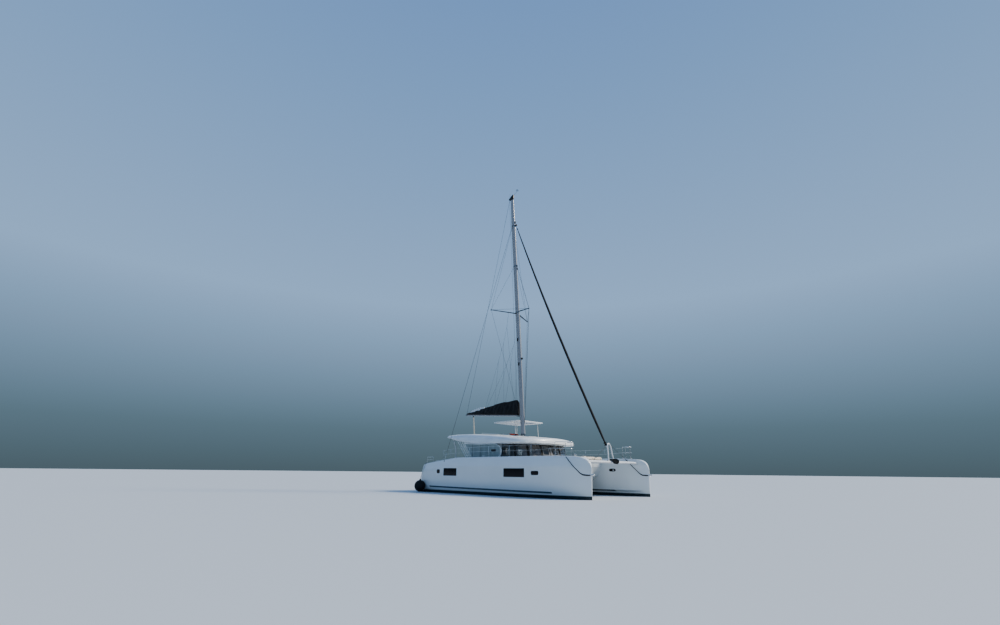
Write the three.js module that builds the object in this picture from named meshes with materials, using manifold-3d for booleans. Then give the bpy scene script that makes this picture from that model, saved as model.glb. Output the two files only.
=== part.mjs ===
// A sailing catamaran of about 12.8 m, afloat.
// Millimetres. +X forward, +Y to port, +Z up. The origin is amidships, on the
// centreline, at the waterline.
import * as THREE from 'three';
import { mergeVertices } from 'three/addons/utils/BufferGeometryUtils.js';
import Module from 'manifold-3d';

const wasm = await Module();
wasm.setup();

// Driving dimensions
const GAP = 0.3;
const DECK_Z = 2020;
const FLOOR_Z = 960;
const WET_DECK_Z = 740;
const HULL_INNER_Y = 2150;
const TRANSOM_X = -5250;
const FOREDECK_X = 3640;
const SALOON_FRONT_X = 1640;
const CEILING_Z = 2800;
const BULKHEAD_X = -2300;
const KEEL_Z = -1250;
const RAIL_HEIGHT = 580;
const PULPIT_HEIGHT = 690;
const MAST_FOOT = new THREE.Vector3(-590, 0, 3430);
const MAST_TOP = new THREE.Vector3(-1580, 0, 21120);
const MAST_HALF = { x: 175, y: 100 };
const HOUNDS_Z = 18650;
const BOOM_PIVOT_X = -900;
const BOOM_END_X = -6100;
const CROSSBEAM = { x: 5720, z: 1770, radius: 70 };
const RUDDER_X = -5550;
const HULL_CENTRE_Y = 2850;

// Finishes
const PAINT = {
  gelcoat: { color: 0xe8ebea, roughness: 0.3, metalness: 0 },
  antifouling: { color: 0x23303a, roughness: 0.85, metalness: 0 },
  nonskid: { color: 0xd9d6cc, roughness: 0.8, metalness: 0 },
  glass: { color: 0x14181c, roughness: 0.08, metalness: 0 },
  aluminium: { color: 0xc9ccce, roughness: 0.4, metalness: 0.8 },
  steel: { color: 0xb9bdc0, roughness: 0.2, metalness: 1 },
  canvas: { color: 0x14161a, roughness: 0.9, metalness: 0 },
  vinyl: { color: 0xb9b4a8, roughness: 0.7, metalness: 0 },
  rubber: { color: 0x0f1011, roughness: 0.8, metalness: 0 },
  iron: { color: 0x4a4f52, roughness: 0.6, metalness: 0.6 },
  bronze: { color: 0x8a6a3a, roughness: 0.4, metalness: 0.9 },
  wood: { color: 0x9a7348, roughness: 0.6, metalness: 0 },
};
const material = {};
for (const [name, look] of Object.entries(PAINT)) {
  material[name] = new THREE.MeshStandardMaterial(look);
}

// Solids and booleans
function toSolid(geometry) {
  const bare = geometry.clone();
  bare.deleteAttribute('normal');
  bare.deleteAttribute('uv');
  const merged = mergeVertices(bare, 1e-3);
  const vertProperties = new Float32Array(merged.attributes.position.array);
  const triVerts = new Uint32Array(merged.index.array);
  return new wasm.Manifold(new wasm.Mesh({ numProp: 3, vertProperties, triVerts }));
}

function toGeometry(solid) {
  const mesh = solid.getMesh();
  const geometry = new THREE.BufferGeometry();
  geometry.setAttribute('position', new THREE.BufferAttribute(mesh.vertProperties, 3));
  geometry.setIndex(new THREE.BufferAttribute(mesh.triVerts, 1));
  geometry.computeVertexNormals();
  return geometry;
}

function join(solids) {
  return solids.reduce((sum, solid) => sum.add(solid));
}

function largest(solid) {
  return solid.decompose().sort((a, b) => b.volume() - a.volume())[0];
}

function highest(solid) {
  return solid.decompose().sort((a, b) => b.boundingBox().max[2] - a.boundingBox().max[2])[0];
}

// A closed skin through rings of equal length, with a flat cap on each end ring.
// The rings lie across the axis given: 0 for x, 2 for z.
function loft(rings, axis = 0) {
  const count = rings[0].length;
  const index = [];
  for (let r = 0; r + 1 < rings.length; r++) {
    for (let i = 0; i < count; i++) {
      const a = r * count + i;
      const b = r * count + (i + 1) % count;
      index.push(a, b, b + count, a, b + count, a + count);
    }
  }
  const [u, v] = axis === 0 ? [1, 2] : [0, 1];
  for (const [ring, first] of [[rings[0], 0], [rings.at(-1), (rings.length - 1) * count]]) {
    const outline = ring.map((p) => new THREE.Vector2(p[u], p[v]));
    const turnsLeft = !THREE.ShapeUtils.isClockWise(outline);
    for (const face of THREE.ShapeUtils.triangulateShape(outline, [])) {
      const [a, b, c] = face.map((i) => i + first);
      const up = new THREE.Vector2().subVectors(outline[face[1]], outline[face[0]])
        .cross(new THREE.Vector2().subVectors(outline[face[2]], outline[face[0]])) > 0;
      const flip = (first === 0) === (up === turnsLeft);
      index.push(...(flip ? [a, c, b] : [a, b, c]));
    }
  }
  const points = rings.flat();
  let volume = 0;
  for (let i = 0; i < index.length; i += 3) {
    const [a, b, c] = [0, 1, 2].map((k) => new THREE.Vector3(...points[index[i + k]]));
    volume += a.dot(b.cross(c)) / 6;
  }
  if (volume < 0) index.reverse();
  const geometry = new THREE.BufferGeometry();
  geometry.setAttribute('position', new THREE.Float32BufferAttribute(points.flat(), 3));
  geometry.setIndex(index);
  return toSolid(geometry);
}

function box(x0, x1, y0, y1, z0, z1) {
  const geometry = new THREE.BoxGeometry(x1 - x0, y1 - y0, z1 - z0);
  geometry.translate((x0 + x1) / 2, (y0 + y1) / 2, (z0 + z1) / 2);
  return toSolid(geometry);
}

// A straight round bar from a to b, each an [x, y, z].
function rod(a, b, radius, sides = 8, endRadius = radius) {
  const from = new THREE.Vector3(...a);
  const to = new THREE.Vector3(...b);
  const geometry = new THREE.CylinderGeometry(endRadius, radius, from.distanceTo(to), sides);
  const direction = to.clone().sub(from).normalize();
  geometry.applyQuaternion(new THREE.Quaternion().setFromUnitVectors(new THREE.Vector3(0, 1, 0), direction));
  geometry.translate(...from.add(to).divideScalar(2).toArray());
  return toSolid(geometry);
}

function ball(centre, radius, sides = 8) {
  const geometry = new THREE.SphereGeometry(radius, sides, Math.max(4, sides / 2));
  geometry.translate(...centre);
  return toSolid(geometry);
}

// Bars along a path, with a ball at each bend.
const BEND_SWELL = 1.35;
function rail(path, radius, sides = 8) {
  const pieces = [];
  for (let i = 0; i + 1 < path.length; i++) {
    pieces.push(rod(path[i], path[i + 1], radius, sides));
    if (i > 0) pieces.push(ball(path[i], radius * BEND_SWELL, sides));
  }
  return join(pieces);
}

// A flat outline pushed through a thickness: in plan (x, y) and up from z0 to z1.
function plate(outline, z0, z1) {
  return loft([outline.map(([x, y]) => [x, y, z0]), outline.map(([x, y]) => [x, y, z1])], 2);
}

// A side view (x, z) pushed across the boat from y0 to y1.
function slab(profile, y0, y1) {
  const shape = new THREE.Shape(profile.map(([x, z]) => new THREE.Vector2(x, z)));
  const geometry = new THREE.ExtrudeGeometry(shape, { depth: y1 - y0, bevelEnabled: false });
  geometry.rotateX(Math.PI / 2);
  geometry.translate(0, y1, 0);
  return toSolid(geometry);
}

const catamaran = new THREE.Group();
function add(name, solid, finish, parent = catamaran) {
  const mesh = new THREE.Mesh(toGeometry(solid), material[finish]);
  mesh.name = name;
  parent.add(mesh);
  return mesh;
}

const SIDES = [
  { name: 'starboard', side: -1 },
  { name: 'port', side: 1 },
];

// Hull sections, from the stern platform to the stem. All widths are distances from
// the boat's centreline: deck edge, topside, inner side and middle of the underwater body.
const HULL_SECTIONS = [
  { x: -6400, deck: 380, deckY: 3400, sideY: 3480, innerY: 2150, midY: 2850, half: 560, draft: 180 },
  { x: -6300, deck: 470, deckY: 3500, sideY: 3570, innerY: 2150, midY: 2850, half: 580, draft: 220 },
  { x: -6180, deck: 760, deckY: 3570, sideY: 3650, innerY: 2150, midY: 2850, half: 590, draft: 240 },
  { x: -5960, deck: 1500, deckY: 3630, sideY: 3740, innerY: 2150, midY: 2850, half: 600, draft: 280 },
  { x: -5890, deck: 1640, deckY: 3640, sideY: 3760, innerY: 2150, midY: 2850, half: 605, draft: 295 },
  { x: -4800, deck: 1800, deckY: 3650, sideY: 3820, innerY: 2150, midY: 2850, half: 640, draft: 420 },
  { x: -3600, deck: 1925, deckY: 3650, sideY: 3845, innerY: 2150, midY: 2850, half: 660, draft: 510 },
  { x: -2400, deck: 2020, deckY: 3650, sideY: 3850, innerY: 2150, midY: 2850, half: 670, draft: 580 },
  { x: -600, deck: 2020, deckY: 3650, sideY: 3850, innerY: 2150, midY: 2850, half: 670, draft: 620 },
  { x: 1400, deck: 2020, deckY: 3620, sideY: 3840, innerY: 2150, midY: 2850, half: 620, draft: 620 },
  { x: 3000, deck: 2020, deckY: 3540, sideY: 3770, innerY: 2150, midY: 2850, half: 540, draft: 590 },
  { x: 3660, deck: 2020, deckY: 3480, sideY: 3690, innerY: 2150, midY: 2850, half: 480, draft: 570 },
  { x: 4300, deck: 2020, deckY: 3380, sideY: 3590, innerY: 2240, midY: 2850, half: 410, draft: 550 },
  { x: 5100, deck: 2005, deckY: 3210, sideY: 3380, innerY: 2380, midY: 2840, half: 290, draft: 500 },
  { x: 5720, deck: 1960, deckY: 3020, sideY: 3140, innerY: 2565, midY: 2815, half: 170, draft: 450 },
  { x: 6000, deck: 1860, deckY: 2920, sideY: 3000, innerY: 2650, midY: 2800, half: 105, draft: 410 },
  { x: 6130, deck: 1770, deckY: 2870, sideY: 2925, innerY: 2695, midY: 2795, half: 72, draft: 385 },
  { x: 6200, deck: 1680, deckY: 2845, sideY: 2885, innerY: 2720, midY: 2792, half: 52, draft: 365 },
  { x: 6262, deck: 1560, deckY: 2818, sideY: 2843, innerY: 2745, midY: 2790, half: 32, draft: 345 },
  { x: 6290, deck: 1440, deckY: 2800, sideY: 2812, innerY: 2768, midY: 2790, half: 16, draft: 325 },
];
const STEM_RAKE = 0.052;
const INNER_SHARE = 0.8;

// The value of one column at a place between two sections.
function alongHull(x, column) {
  const after = HULL_SECTIONS.findIndex((row) => row.x >= x);
  const b = HULL_SECTIONS[Math.max(after, 1)];
  const a = HULL_SECTIONS[Math.max(after, 1) - 1];
  return THREE.MathUtils.mapLinear(x, a.x, b.x, a[column], b[column]);
}

function hullRing(row, side) {
  const chineZ = Math.min(330, row.deck * 0.6);
  const { deck, deckY, sideY, innerY, midY, half, draft } = row;
  const bilge = [[0.6, 0.86], [0.92, 0.5], [1, 0]];
  const lowerOut = bilge.map(([w, d]) => [midY + half * w, -draft * d]);
  const lowerIn = bilge.map(([w, d]) => [midY - half * w * INNER_SHARE, -draft * d]).reverse();
  const flareY = THREE.MathUtils.lerp(midY + half, sideY, 0.8);
  const stepY = THREE.MathUtils.lerp(midY - half * INNER_SHARE, innerY, 0.2);
  const topside = [[flareY, deck * 0.23], [sideY - 3, deck * 0.44], [sideY, deck * 0.75]];
  const innerWall = [[innerY, deck], [innerY, chineZ], [stepY, chineZ - 90]];
  const ring = [[midY, -draft], ...lowerOut, ...topside, [deckY, deck], ...innerWall, ...lowerIn];
  const rake = STEM_RAKE * THREE.MathUtils.smoothstep(row.x, 4300, 6080);
  return ring.map(([y, z]) => [row.x + rake * z, y * side, z]);
}

function mirrored(y0, y1, side) {
  return side > 0 ? [y0, y1] : [-y1, -y0];
}

// A prism that follows the topside between two places, from inset to outset of its skin.
function topsidePrism(x0, x1, z0, z1, inset, outset, side) {
  const rings = [x0, x1].map((x) => {
    const y = alongHull(x, 'sideY');
    const corners = [[y + inset, z0], [y + outset, z0], [y + outset, z1], [y + inset, z1]];
    return corners.map(([a, z]) => [x, a * side, z]);
  });
  return loft(rings);
}

const STEPS = [
  { before: -5150, above: 1250 },
  { before: -5480, above: 880 },
  { before: -5810, above: 510 },
];
const ENGINE_BAY = { x0: -4700, x1: -3950, y0: 2580, y1: 3350, z0: -100 };
const HULL_WINDOWS = [
  { place: 'aft', x0: -3630, x1: -2420, z0: 990, z1: 1410 },
  { place: 'forward', x0: 1450, x1: 2870, z0: 980, z1: 1410 },
];
const RUDDER_STOCK = { radius: 30, top: -120 };

const hulls = {};
for (const { name, side } of SIDES) {
  let hull = loft(HULL_SECTIONS.map((row) => hullRing(row, side)));
  for (const step of STEPS) {
    hull = hull.subtract(box(-6500, step.before, ...mirrored(2420, 3400, side), step.above, 2500));
  }
  const bay = ENGINE_BAY;
  hull = hull.subtract(box(bay.x0, bay.x1, ...mirrored(bay.y0, bay.y1, side), bay.z0, 2500));
  for (const { x0, x1, z0, z1 } of HULL_WINDOWS) {
    hull = hull.subtract(topsidePrism(x0, x1, z0, z1, -20, 80, side));
  }
  const y = HULL_CENTRE_Y * side;
  const stockHole = rod([RUDDER_X, y, -600], [RUDDER_X, y, RUDDER_STOCK.top], 31.5, 16);
  hull = hull.subtract(stockHole);
  hulls[name] = hull;
  add(`hull_${name}`, hull, 'gelcoat');
  for (const { place, x0, x1, z0, z1 } of HULL_WINDOWS) {
    const pane = topsidePrism(x0 + 1, x1 - 1, z0 + 1, z1 - 1, -20 + GAP, -7, side);
    add(`hull_window_${place}_${name}`, pane, 'glass');
  }
}

// Below the waterline: keels, rudders, saildrives and propellers
const KEEL = [
  { z: -300, x0: -1350, x1: 1400, half: 150 },
  { z: KEEL_Z, x0: -1150, x1: 950, half: 100 },
];
const RUDDER = [
  { z: -400, x0: -5800, x1: -5320, half: 38 },
  { z: -1150, x0: -5730, x1: -5380, half: 22 },
];
// Foil sections in plan, nose forward: share of the chord from the nose, share of the half width.
const FOIL = [[0, 0], [0.06, 0.55], [0.3, 1], [0.65, 0.75], [1, 0.08]];

function foil(rows, side) {
  const rings = rows.map(({ z, x0, x1, half }) => {
    const right = FOIL.map(([c, w]) => [x1 - (x1 - x0) * c, half * w]);
    const left = right.slice(1).map(([x, w]) => [x, -w]).reverse();
    return [...right, ...left].map(([x, w]) => [x, HULL_CENTRE_Y * side + w, z]);
  });
  return loft(rings, 2);
}

const DRIVE = { x: -4780, z: -860 };
const ENGINE = { x0: -4640, x1: -4010, y0: 2620, y1: 3180, height: 640 };
for (const { name, side } of SIDES) {
  const y = HULL_CENTRE_Y * side;
  const lowered = hulls[name].translate([0, 0, -GAP]);
  add(`keel_${name}`, foil(KEEL, side).subtract(lowered), 'antifouling');

  const stock = rod([RUDDER_X, y, -420], [RUDDER_X, y, RUDDER_STOCK.top - GAP], RUDDER_STOCK.radius, 16);
  add(`rudder_${name}`, foil(RUDDER, side).add(stock), 'antifouling');

  const leg = slab([[DRIVE.x - 90, DRIVE.z], [DRIVE.x + 110, DRIVE.z], [DRIVE.x + 150, -200],
    [DRIVE.x - 130, -200]], y - 45, y + 45);
  const gearcase = rod([DRIVE.x - 120, y, DRIVE.z], [DRIVE.x + 190, y, DRIVE.z], 62, 12, 30);
  add(`saildrive_${name}`, leg.add(gearcase).subtract(lowered), 'aluminium');

  const hub = rod([DRIVE.x - 250, y, DRIVE.z], [DRIVE.x - 120 - GAP, y, DRIVE.z], 32, 12, 56);
  const blades = [0, 120, 240].map((angle) => {
    const blade = new THREE.BoxGeometry(18, 90, 190);
    blade.rotateZ(THREE.MathUtils.degToRad(32));
    blade.translate(0, 0, 118);
    blade.rotateX(THREE.MathUtils.degToRad(angle));
    blade.translate(DRIVE.x - 180, y, DRIVE.z);
    return toSolid(blade);
  });
  add(`propeller_${name}`, join([hub, ...blades]), 'bronze');

  const [y0, y1] = mirrored(ENGINE.y0, ENGINE.y1, side);
  const floor = ENGINE_BAY.z0 + GAP;
  add(`engine_${name}`, box(ENGINE.x0, ENGINE.x1, y0, y1, floor, floor + ENGINE.height), 'iron');

  const lidY = mirrored(2510, 3410, side);
  const lid = [-4780, -3870].map((x) => {
    const z = alongHull(x, 'deck') + GAP;
    return [[lidY[0], z], [lidY[1], z], [lidY[1], z + 45], [lidY[0], z + 45]].map(([a, h]) => [x, a, h]);
  });
  add(`engine_hatch_${name}`, loft(lid), 'gelcoat');
}

// Bridgedeck between the hulls, with the cockpit and saloon floor sunk into it
const BRIDGE_PROFILE = [
  [TRANSOM_X, WET_DECK_Z + 40], [2950, WET_DECK_Z], [3420, 1080], [3600, 1480],
  [FOREDECK_X, 1560], [FOREDECK_X, DECK_Z], [SALOON_FRONT_X, DECK_Z], [SALOON_FRONT_X, FLOOR_Z],
  [TRANSOM_X, FLOOR_Z],
];
const bridge = slab(BRIDGE_PROFILE, -HULL_INNER_Y + GAP, HULL_INNER_Y - GAP);
// The foredeck's two corners reach in under the rounded front of the saloon, as a shelf inside the glass
const SHELF = { thick: 60, innerY: 1000, aftX: 1030, overlap: 60 };
const shelves = [1, -1].map((side) => {
  const outerY = (HULL_INNER_Y - GAP) * side;
  const outline = [
    [SALOON_FRONT_X + SHELF.overlap, SHELF.innerY * side], [SALOON_FRONT_X + SHELF.overlap, outerY],
    [SHELF.aftX, outerY], [SALOON_FRONT_X, SHELF.innerY * side],
  ];
  return plate(side > 0 ? outline : outline.reverse(), DECK_Z - SHELF.thick, DECK_Z);
});
add('bridgedeck', join([bridge, ...shelves]), 'gelcoat');

// Saloon walls: a straight side that turns into a rounded front, leaning in at the top
const HOUSE = { sideX: -100, frontX: 1750, halfY: 2500, leanX: 250, leanY: 80, wall: 60, bend: 0.72 };

function houseHalf(inset, lift) {
  const reach = HOUSE.frontX - HOUSE.sideX - HOUSE.leanX * lift - inset;
  const half = HOUSE.halfY - HOUSE.leanY * lift - inset;
  const points = [];
  for (let i = 0; i <= 7; i++) {
    const t = (Math.PI / 2) * (i / 7);
    points.push([HOUSE.sideX + reach * Math.sin(t) ** HOUSE.bend, half * Math.cos(t) ** HOUSE.bend]);
  }
  return points;
}

function houseOutline(inset, lift, aftX) {
  const half = houseHalf(inset, lift);
  const port = [[aftX, half[0][1]], ...half];
  const starboard = port.slice(0, -1).map(([x, y]) => [x, -y]).reverse();
  return [...port, ...starboard];
}

function houseRing(inset, z, aftX) {
  const lift = (z - DECK_Z) / (CEILING_Z - DECK_Z);
  return houseOutline(inset, lift, aftX).map(([x, y]) => [x, y, z]);
}

const WINDOW_Z = { low: 2085, high: 2735 };
const houseBase = DECK_Z + GAP;
const houseTop = CEILING_Z - GAP;
let house = loft([houseRing(0, houseBase, BULKHEAD_X), houseRing(0, houseTop, BULKHEAD_X)], 2);
house = house.subtract(loft([
  houseRing(HOUSE.wall, DECK_Z - 50, BULKHEAD_X - 100),
  houseRing(HOUSE.wall, CEILING_Z + 50, BULKHEAD_X - 100),
], 2));
// Window openings: the middle of each, which way it faces in degrees from forward, and its width
const half0 = houseHalf(HOUSE.wall / 2, 0.5);
const openings = [];
for (const [i, j, share] of [[0, 2, 0.9], [2, 4, 0.86], [4, 6, 0.86], [6, 7, 0.8]]) {
  const [ax, ay] = half0[i];
  const [bx, by] = half0[j];
  const facing = THREE.MathUtils.radToDeg(Math.atan2(-(ax - bx), -(by - ay)));
  openings.push({
    x: (ax + bx) / 2, y: (ay + by) / 2, facing, width: Math.hypot(ax - bx, ay - by) * share,
  });
}
for (const { x, y, facing, width } of openings) {
  for (const side of [1, -1]) {
    const cutter = new THREE.BoxGeometry(520, width, WINDOW_Z.high - WINDOW_Z.low);
    cutter.rotateZ(THREE.MathUtils.degToRad(facing) * side);
    cutter.translate(x, y * side, (WINDOW_Z.low + WINDOW_Z.high) / 2);
    house = house.subtract(toSolid(cutter));
  }
}
add('saloon_walls', house, 'gelcoat');

const GLASS = { x0: -95, z0: WINDOW_Z.low - 35, z1: WINDOW_Z.high + 35, thick: 10 };
const houseSkin = (inset) => loft([
  houseRing(inset, houseBase, BULKHEAD_X), houseRing(inset, houseTop, BULKHEAD_X),
], 2);
const glazing = houseSkin(-GAP - GLASS.thick).subtract(houseSkin(-GAP))
  .intersect(box(GLASS.x0, 4000, -3000, 3000, GLASS.z0, GLASS.z1));
add('saloon_glazing', glazing, 'glass');

// Bulkhead between cockpit and saloon, with the sliding door's opening, its sill and a window
const DOOR = { y0: -1500, y1: -250, z1: 2690, slide: 1300 };
const bulkheadOutline = [
  [-HULL_INNER_Y + 1, FLOOR_Z + GAP], [HULL_INNER_Y - 1, FLOOR_Z + GAP],
  [HULL_INNER_Y - 1, DECK_Z + GAP], [2438, DECK_Z + GAP], [2358, CEILING_Z - GAP],
  [-2358, CEILING_Z - GAP], [-2438, DECK_Z + GAP], [-HULL_INNER_Y + 1, DECK_Z + GAP],
];
let bulkhead = loft([BULKHEAD_X, BULKHEAD_X + 50].map((x) => bulkheadOutline.map(([y, z]) => [x, y, z])));
const through = [BULKHEAD_X - 50, BULKHEAD_X + 100];
bulkhead = bulkhead.subtract(box(...through, DOOR.y0, DOOR.y1, FLOOR_Z + 40, DOOR.z1));
bulkhead = bulkhead.subtract(box(...through, 150, 1900, 1750, DOOR.z1));
const sill = box(BULKHEAD_X - 60, BULKHEAD_X + 10, DOOR.y0 - 60, DOOR.y1 + DOOR.slide + 60,
  FLOOR_Z + GAP, FLOOR_Z + 30);
add('saloon_bulkhead', bulkhead.add(sill), 'gelcoat');
const doorPanel = box(BULKHEAD_X - 46, BULKHEAD_X - 6, DOOR.y0 - 50, DOOR.y1 + 50,
  FLOOR_Z + 30.5, DOOR.z1 + 50);
add('saloon_door', doorPanel, 'glass');

// Coachroof: a wide lens over saloon and cockpit, with the helm's opening in its port side
const ROOF_SECTIONS = [
  { x: -5420, half: 1500, lean: 150, low: 3330, edge: 3350, crown: 3400 },
  { x: -5320, half: 2200, lean: 150, low: 3320, edge: 3390, crown: 3450 },
  { x: -5060, half: 2450, lean: 170, low: 3310, edge: 3430, crown: 3500 },
  { x: -4690, half: 2740, lean: 200, low: 3285, edge: 3455, crown: 3530 },
  { x: -3970, half: 2750, lean: 220, low: 3110, edge: 3475, crown: 3545 },
  { x: -3000, half: 2760, lean: 230, low: 2955, edge: 3455, crown: 3540 },
  { x: -2520, half: 2760, lean: 230, low: 2880, edge: 3435, crown: 3510 },
  { x: -1610, half: 2760, lean: 220, low: CEILING_Z, edge: 3375, crown: 3445 },
  { x: -600, half: 2750, lean: 200, low: CEILING_Z, edge: 3285, crown: 3375 },
  { x: 200, half: 2755, lean: 180, low: CEILING_Z, edge: 3200, crown: 3320 },
  { x: 700, half: 2740, lean: 160, low: CEILING_Z, edge: 3130, crown: 3270 },
  { x: 1200, half: 2610, lean: 140, low: CEILING_Z, edge: 3080, crown: 3220 },
  { x: 1600, half: 2320, lean: 120, low: CEILING_Z, edge: 3045, crown: 3180 },
  { x: 1850, half: 1950, lean: 110, low: CEILING_Z, edge: 3020, crown: 3150 },
  { x: 2000, half: 1540, lean: 100, low: CEILING_Z, edge: 3000, crown: 3120 },
  { x: 2080, half: 1120, lean: 90, low: CEILING_Z, edge: 2970, crown: 3080 },
  { x: 2120, half: 640, lean: 80, low: CEILING_Z + 10, edge: 2930, crown: 3020 },
];
const HELM_WELL = { x0: -3650, x1: -2350, y0: 450, y1: 2150 };

function roofHeight(row, y) {
  return row.edge + (row.crown - row.edge) * (1 - Math.abs(y / (row.half - row.lean)) ** 2.4);
}

const roofRings = ROOF_SECTIONS.map((row) => {
  const lip = row.low + (row.edge - row.low) * 0.18;
  const ring = [[-row.half + 90, row.low], [row.half - 90, row.low], [row.half, lip]];
  for (let i = -5; i <= 5; i++) {
    const y = -(row.half - row.lean) * (i / 5);
    ring.push([y, roofHeight(row, y)]);
  }
  ring.push([-row.half, lip]);
  return ring.map(([y, z]) => [row.x, y, z]);
});
const fullRoof = loft(roofRings);

// Headroom under the roof's skin, over the saloon and over the cockpit
const ROOF_SKIN = 110;
const COCKPIT_HEADROOM = { x0: -4900, x1: -2420, half: 2200 };
const saloonAftX = BULKHEAD_X + 120;
const insideWall = HOUSE.wall + 4;
const headroom = loft([
  houseRing(insideWall, CEILING_Z - 50, saloonAftX), houseRing(insideWall, CEILING_Z + 700, saloonAftX),
], 2);
const { x0: cockpitX0, x1: cockpitX1, half: cockpitHalf } = COCKPIT_HEADROOM;
const inside = headroom.add(box(cockpitX0, cockpitX1, -cockpitHalf, cockpitHalf, 2700, 3700))
  .intersect(fullRoof.translate([0, 0, -ROOF_SKIN]));
const well = HELM_WELL;
const roof = fullRoof.subtract(inside).subtract(box(well.x0, well.x1, well.y0, well.y1, 2000, 4000));
add('coachroof', roof, 'gelcoat');

const raisedRoof = roof.translate([0, 0, GAP]);
for (const { name, side } of SIDES) {
  const foot = [-4290, 2390 * side, 1600];
  const head = [-4570, 2390 * side, 3400];
  const shelter = rod(foot, head, 32, 12)
    .subtract(hulls[name].translate([0, 0, GAP]))
    .subtract(roof.translate([0, 0, -GAP]));
  add(`roof_pillar_${name}`, largest(shelter), 'gelcoat');
}

// Cabin side wings: a rounded panel outside the saloon wall, with slanted slats behind it
const WING = {
  y0: 2532, y1: 2660, noseX: 50, lowerNose: 300, upperNose: 620, aftTopX: -3110, slant: 660, top: 2990,
};
const SLAT_TOPS = [-3685, -3505, -3315];
const SLAT = { width: 45, inset: 49, rungInset: 54 };
for (const { name, side } of SIDES) {
  const [y0, y1] = mirrored(WING.y0, WING.y1, side);
  const low = DECK_Z + GAP;
  const high = CEILING_Z - GAP;
  const topX = WING.aftTopX - (WING.slant * (WING.top - high)) / (high - low);
  const middle = (low + high) / 2;
  const nose = [];
  for (let i = 0; i <= 8; i++) {
    const t = -Math.PI / 2 + (Math.PI * i) / 8;
    const reach = t < 0 ? WING.lowerNose : WING.upperNose;
    nose.push([WING.noseX - reach * (1 - Math.cos(t)), middle + ((high - low) / 2) * Math.sin(t)]);
  }
  const shoulder = [[WING.aftTopX + 1500, high], [WING.aftTopX + 700, WING.top]];
  const pieces = [
    slab([[WING.aftTopX + WING.slant, low], ...nose, ...shoulder, [topX, WING.top]], y0, y1),
  ];
  for (const top of SLAT_TOPS) {
    const head = top + topX - WING.aftTopX;
    const slat = [[top + WING.slant, low], [top + WING.slant + SLAT.width, low],
      [head + SLAT.width, WING.top], [head, WING.top]];
    pieces.push(slab(slat, y0 + SLAT.inset, y1 - SLAT.inset));
  }
  const rungs = [low + 150, high - 60].map((z) => {
    const shift = (WING.slant * (high - z)) / (high - low);
    const rungX = [SLAT_TOPS[0] + shift + 20, WING.aftTopX + shift + 120];
    return box(...rungX, y0 + SLAT.rungInset, y1 - SLAT.rungInset, z - 15, z + 15);
  });
  const wing = join([...pieces, ...rungs]).subtract(roof.translate([0, 0, -GAP]));
  add(`cabin_wing_${name}`, largest(wing), 'gelcoat');
}

// Raised helm on the port side, with console, wheel, seat and hard top
const HELM_FLOOR = 2320;
const stand = box(-3600, -2420, 500, 2100, FLOOR_Z + GAP, HELM_FLOOR);
const helmSteps = [
  box(-3500, -2950, 250, 510, FLOOR_Z + GAP, 1980),
  box(-3500, -2950, 0, 260, FLOOR_Z + GAP, 1640),
  box(-3500, -2950, -250, 10, FLOOR_Z + GAP, 1300),
];
add('helm_platform', join([stand, ...helmSteps]), 'gelcoat');
const consoleProfile = [[-2700, HELM_FLOOR + GAP], [-2430, HELM_FLOOR + GAP], [-2430, 3560],
  [-2520, 3600], [-2640, 3470]];
const seatProfile = [[-3560, HELM_FLOOR + GAP], [-3160, HELM_FLOOR + GAP], [-3160, 2880],
  [-3420, 2880], [-3450, 3320], [-3530, 3320]];
add('helm_seat', slab(seatProfile, 700, 1900), 'vinyl');

const WHEEL = { x: -2760, y: 1100, z: 3200, radius: 350, rim: 16 };
const rim = new THREE.TorusGeometry(WHEEL.radius, WHEEL.rim, 8, 28);
rim.rotateY(Math.PI / 2);
rim.translate(WHEEL.x, WHEEL.y, WHEEL.z);
const wheelPieces = [toSolid(rim)];
for (let i = 0; i < 5; i++) {
  const t = (Math.PI * 2 * (i + 0.25)) / 5;
  const end = [WHEEL.x, WHEEL.y + WHEEL.radius * Math.cos(t), WHEEL.z + WHEEL.radius * Math.sin(t)];
  wheelPieces.push(rod([WHEEL.x, WHEEL.y, WHEEL.z], end, 8, 6));
}
wheelPieces.push(rod([WHEEL.x - 25, WHEEL.y, WHEEL.z], [WHEEL.x + 40, WHEEL.y, WHEEL.z], 55, 12));
add('helm_wheel', join(wheelPieces), 'steel');
const wheelBoss = rod([WHEEL.x + 40 + GAP, WHEEL.y, WHEEL.z], [-2600, WHEEL.y, WHEEL.z], 45, 12);
add('helm_console', slab(consoleProfile, 700, 1500).add(wheelBoss), 'gelcoat');

const HARDTOP = { x0: -3500, x1: -950, y0: 50, y1: 2600, z: 4360, corner: 330 };
const HARDTOP_HATCH = { x0: -2300, x1: -1250, y0: 550, y1: 2150 };
function roundedPlan({ x0, x1, y0, y1, corner }, inset) {
  const points = [];
  const centres = [[x1, y1, 0], [x0, y1, 90], [x0, y0, 180], [x1, y0, 270]];
  for (const [cx, cy, start] of centres) {
    const mx = cx === x1 ? cx - corner : cx + corner;
    const my = cy === y1 ? cy - corner : cy + corner;
    for (let i = 0; i <= 4; i++) {
      const t = THREE.MathUtils.degToRad(start + (90 * i) / 4);
      points.push([mx + (corner - inset) * Math.cos(t), my + (corner - inset) * Math.sin(t)]);
    }
  }
  return points;
}
const hardtopRings = [[90, 0], [0, 25], [25, 60], [260, 95]].map(([inset, rise]) => (
  roundedPlan(HARDTOP, inset).map(([x, y]) => [x, y, HARDTOP.z + rise])));
const HARDTOP_POSTS = [
  { x: -1450, y: 150, lean: 100 },
  { x: -1450, y: 2400, lean: 100 },
  { x: -3320, y: 2380, lean: -60 },
];
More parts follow.
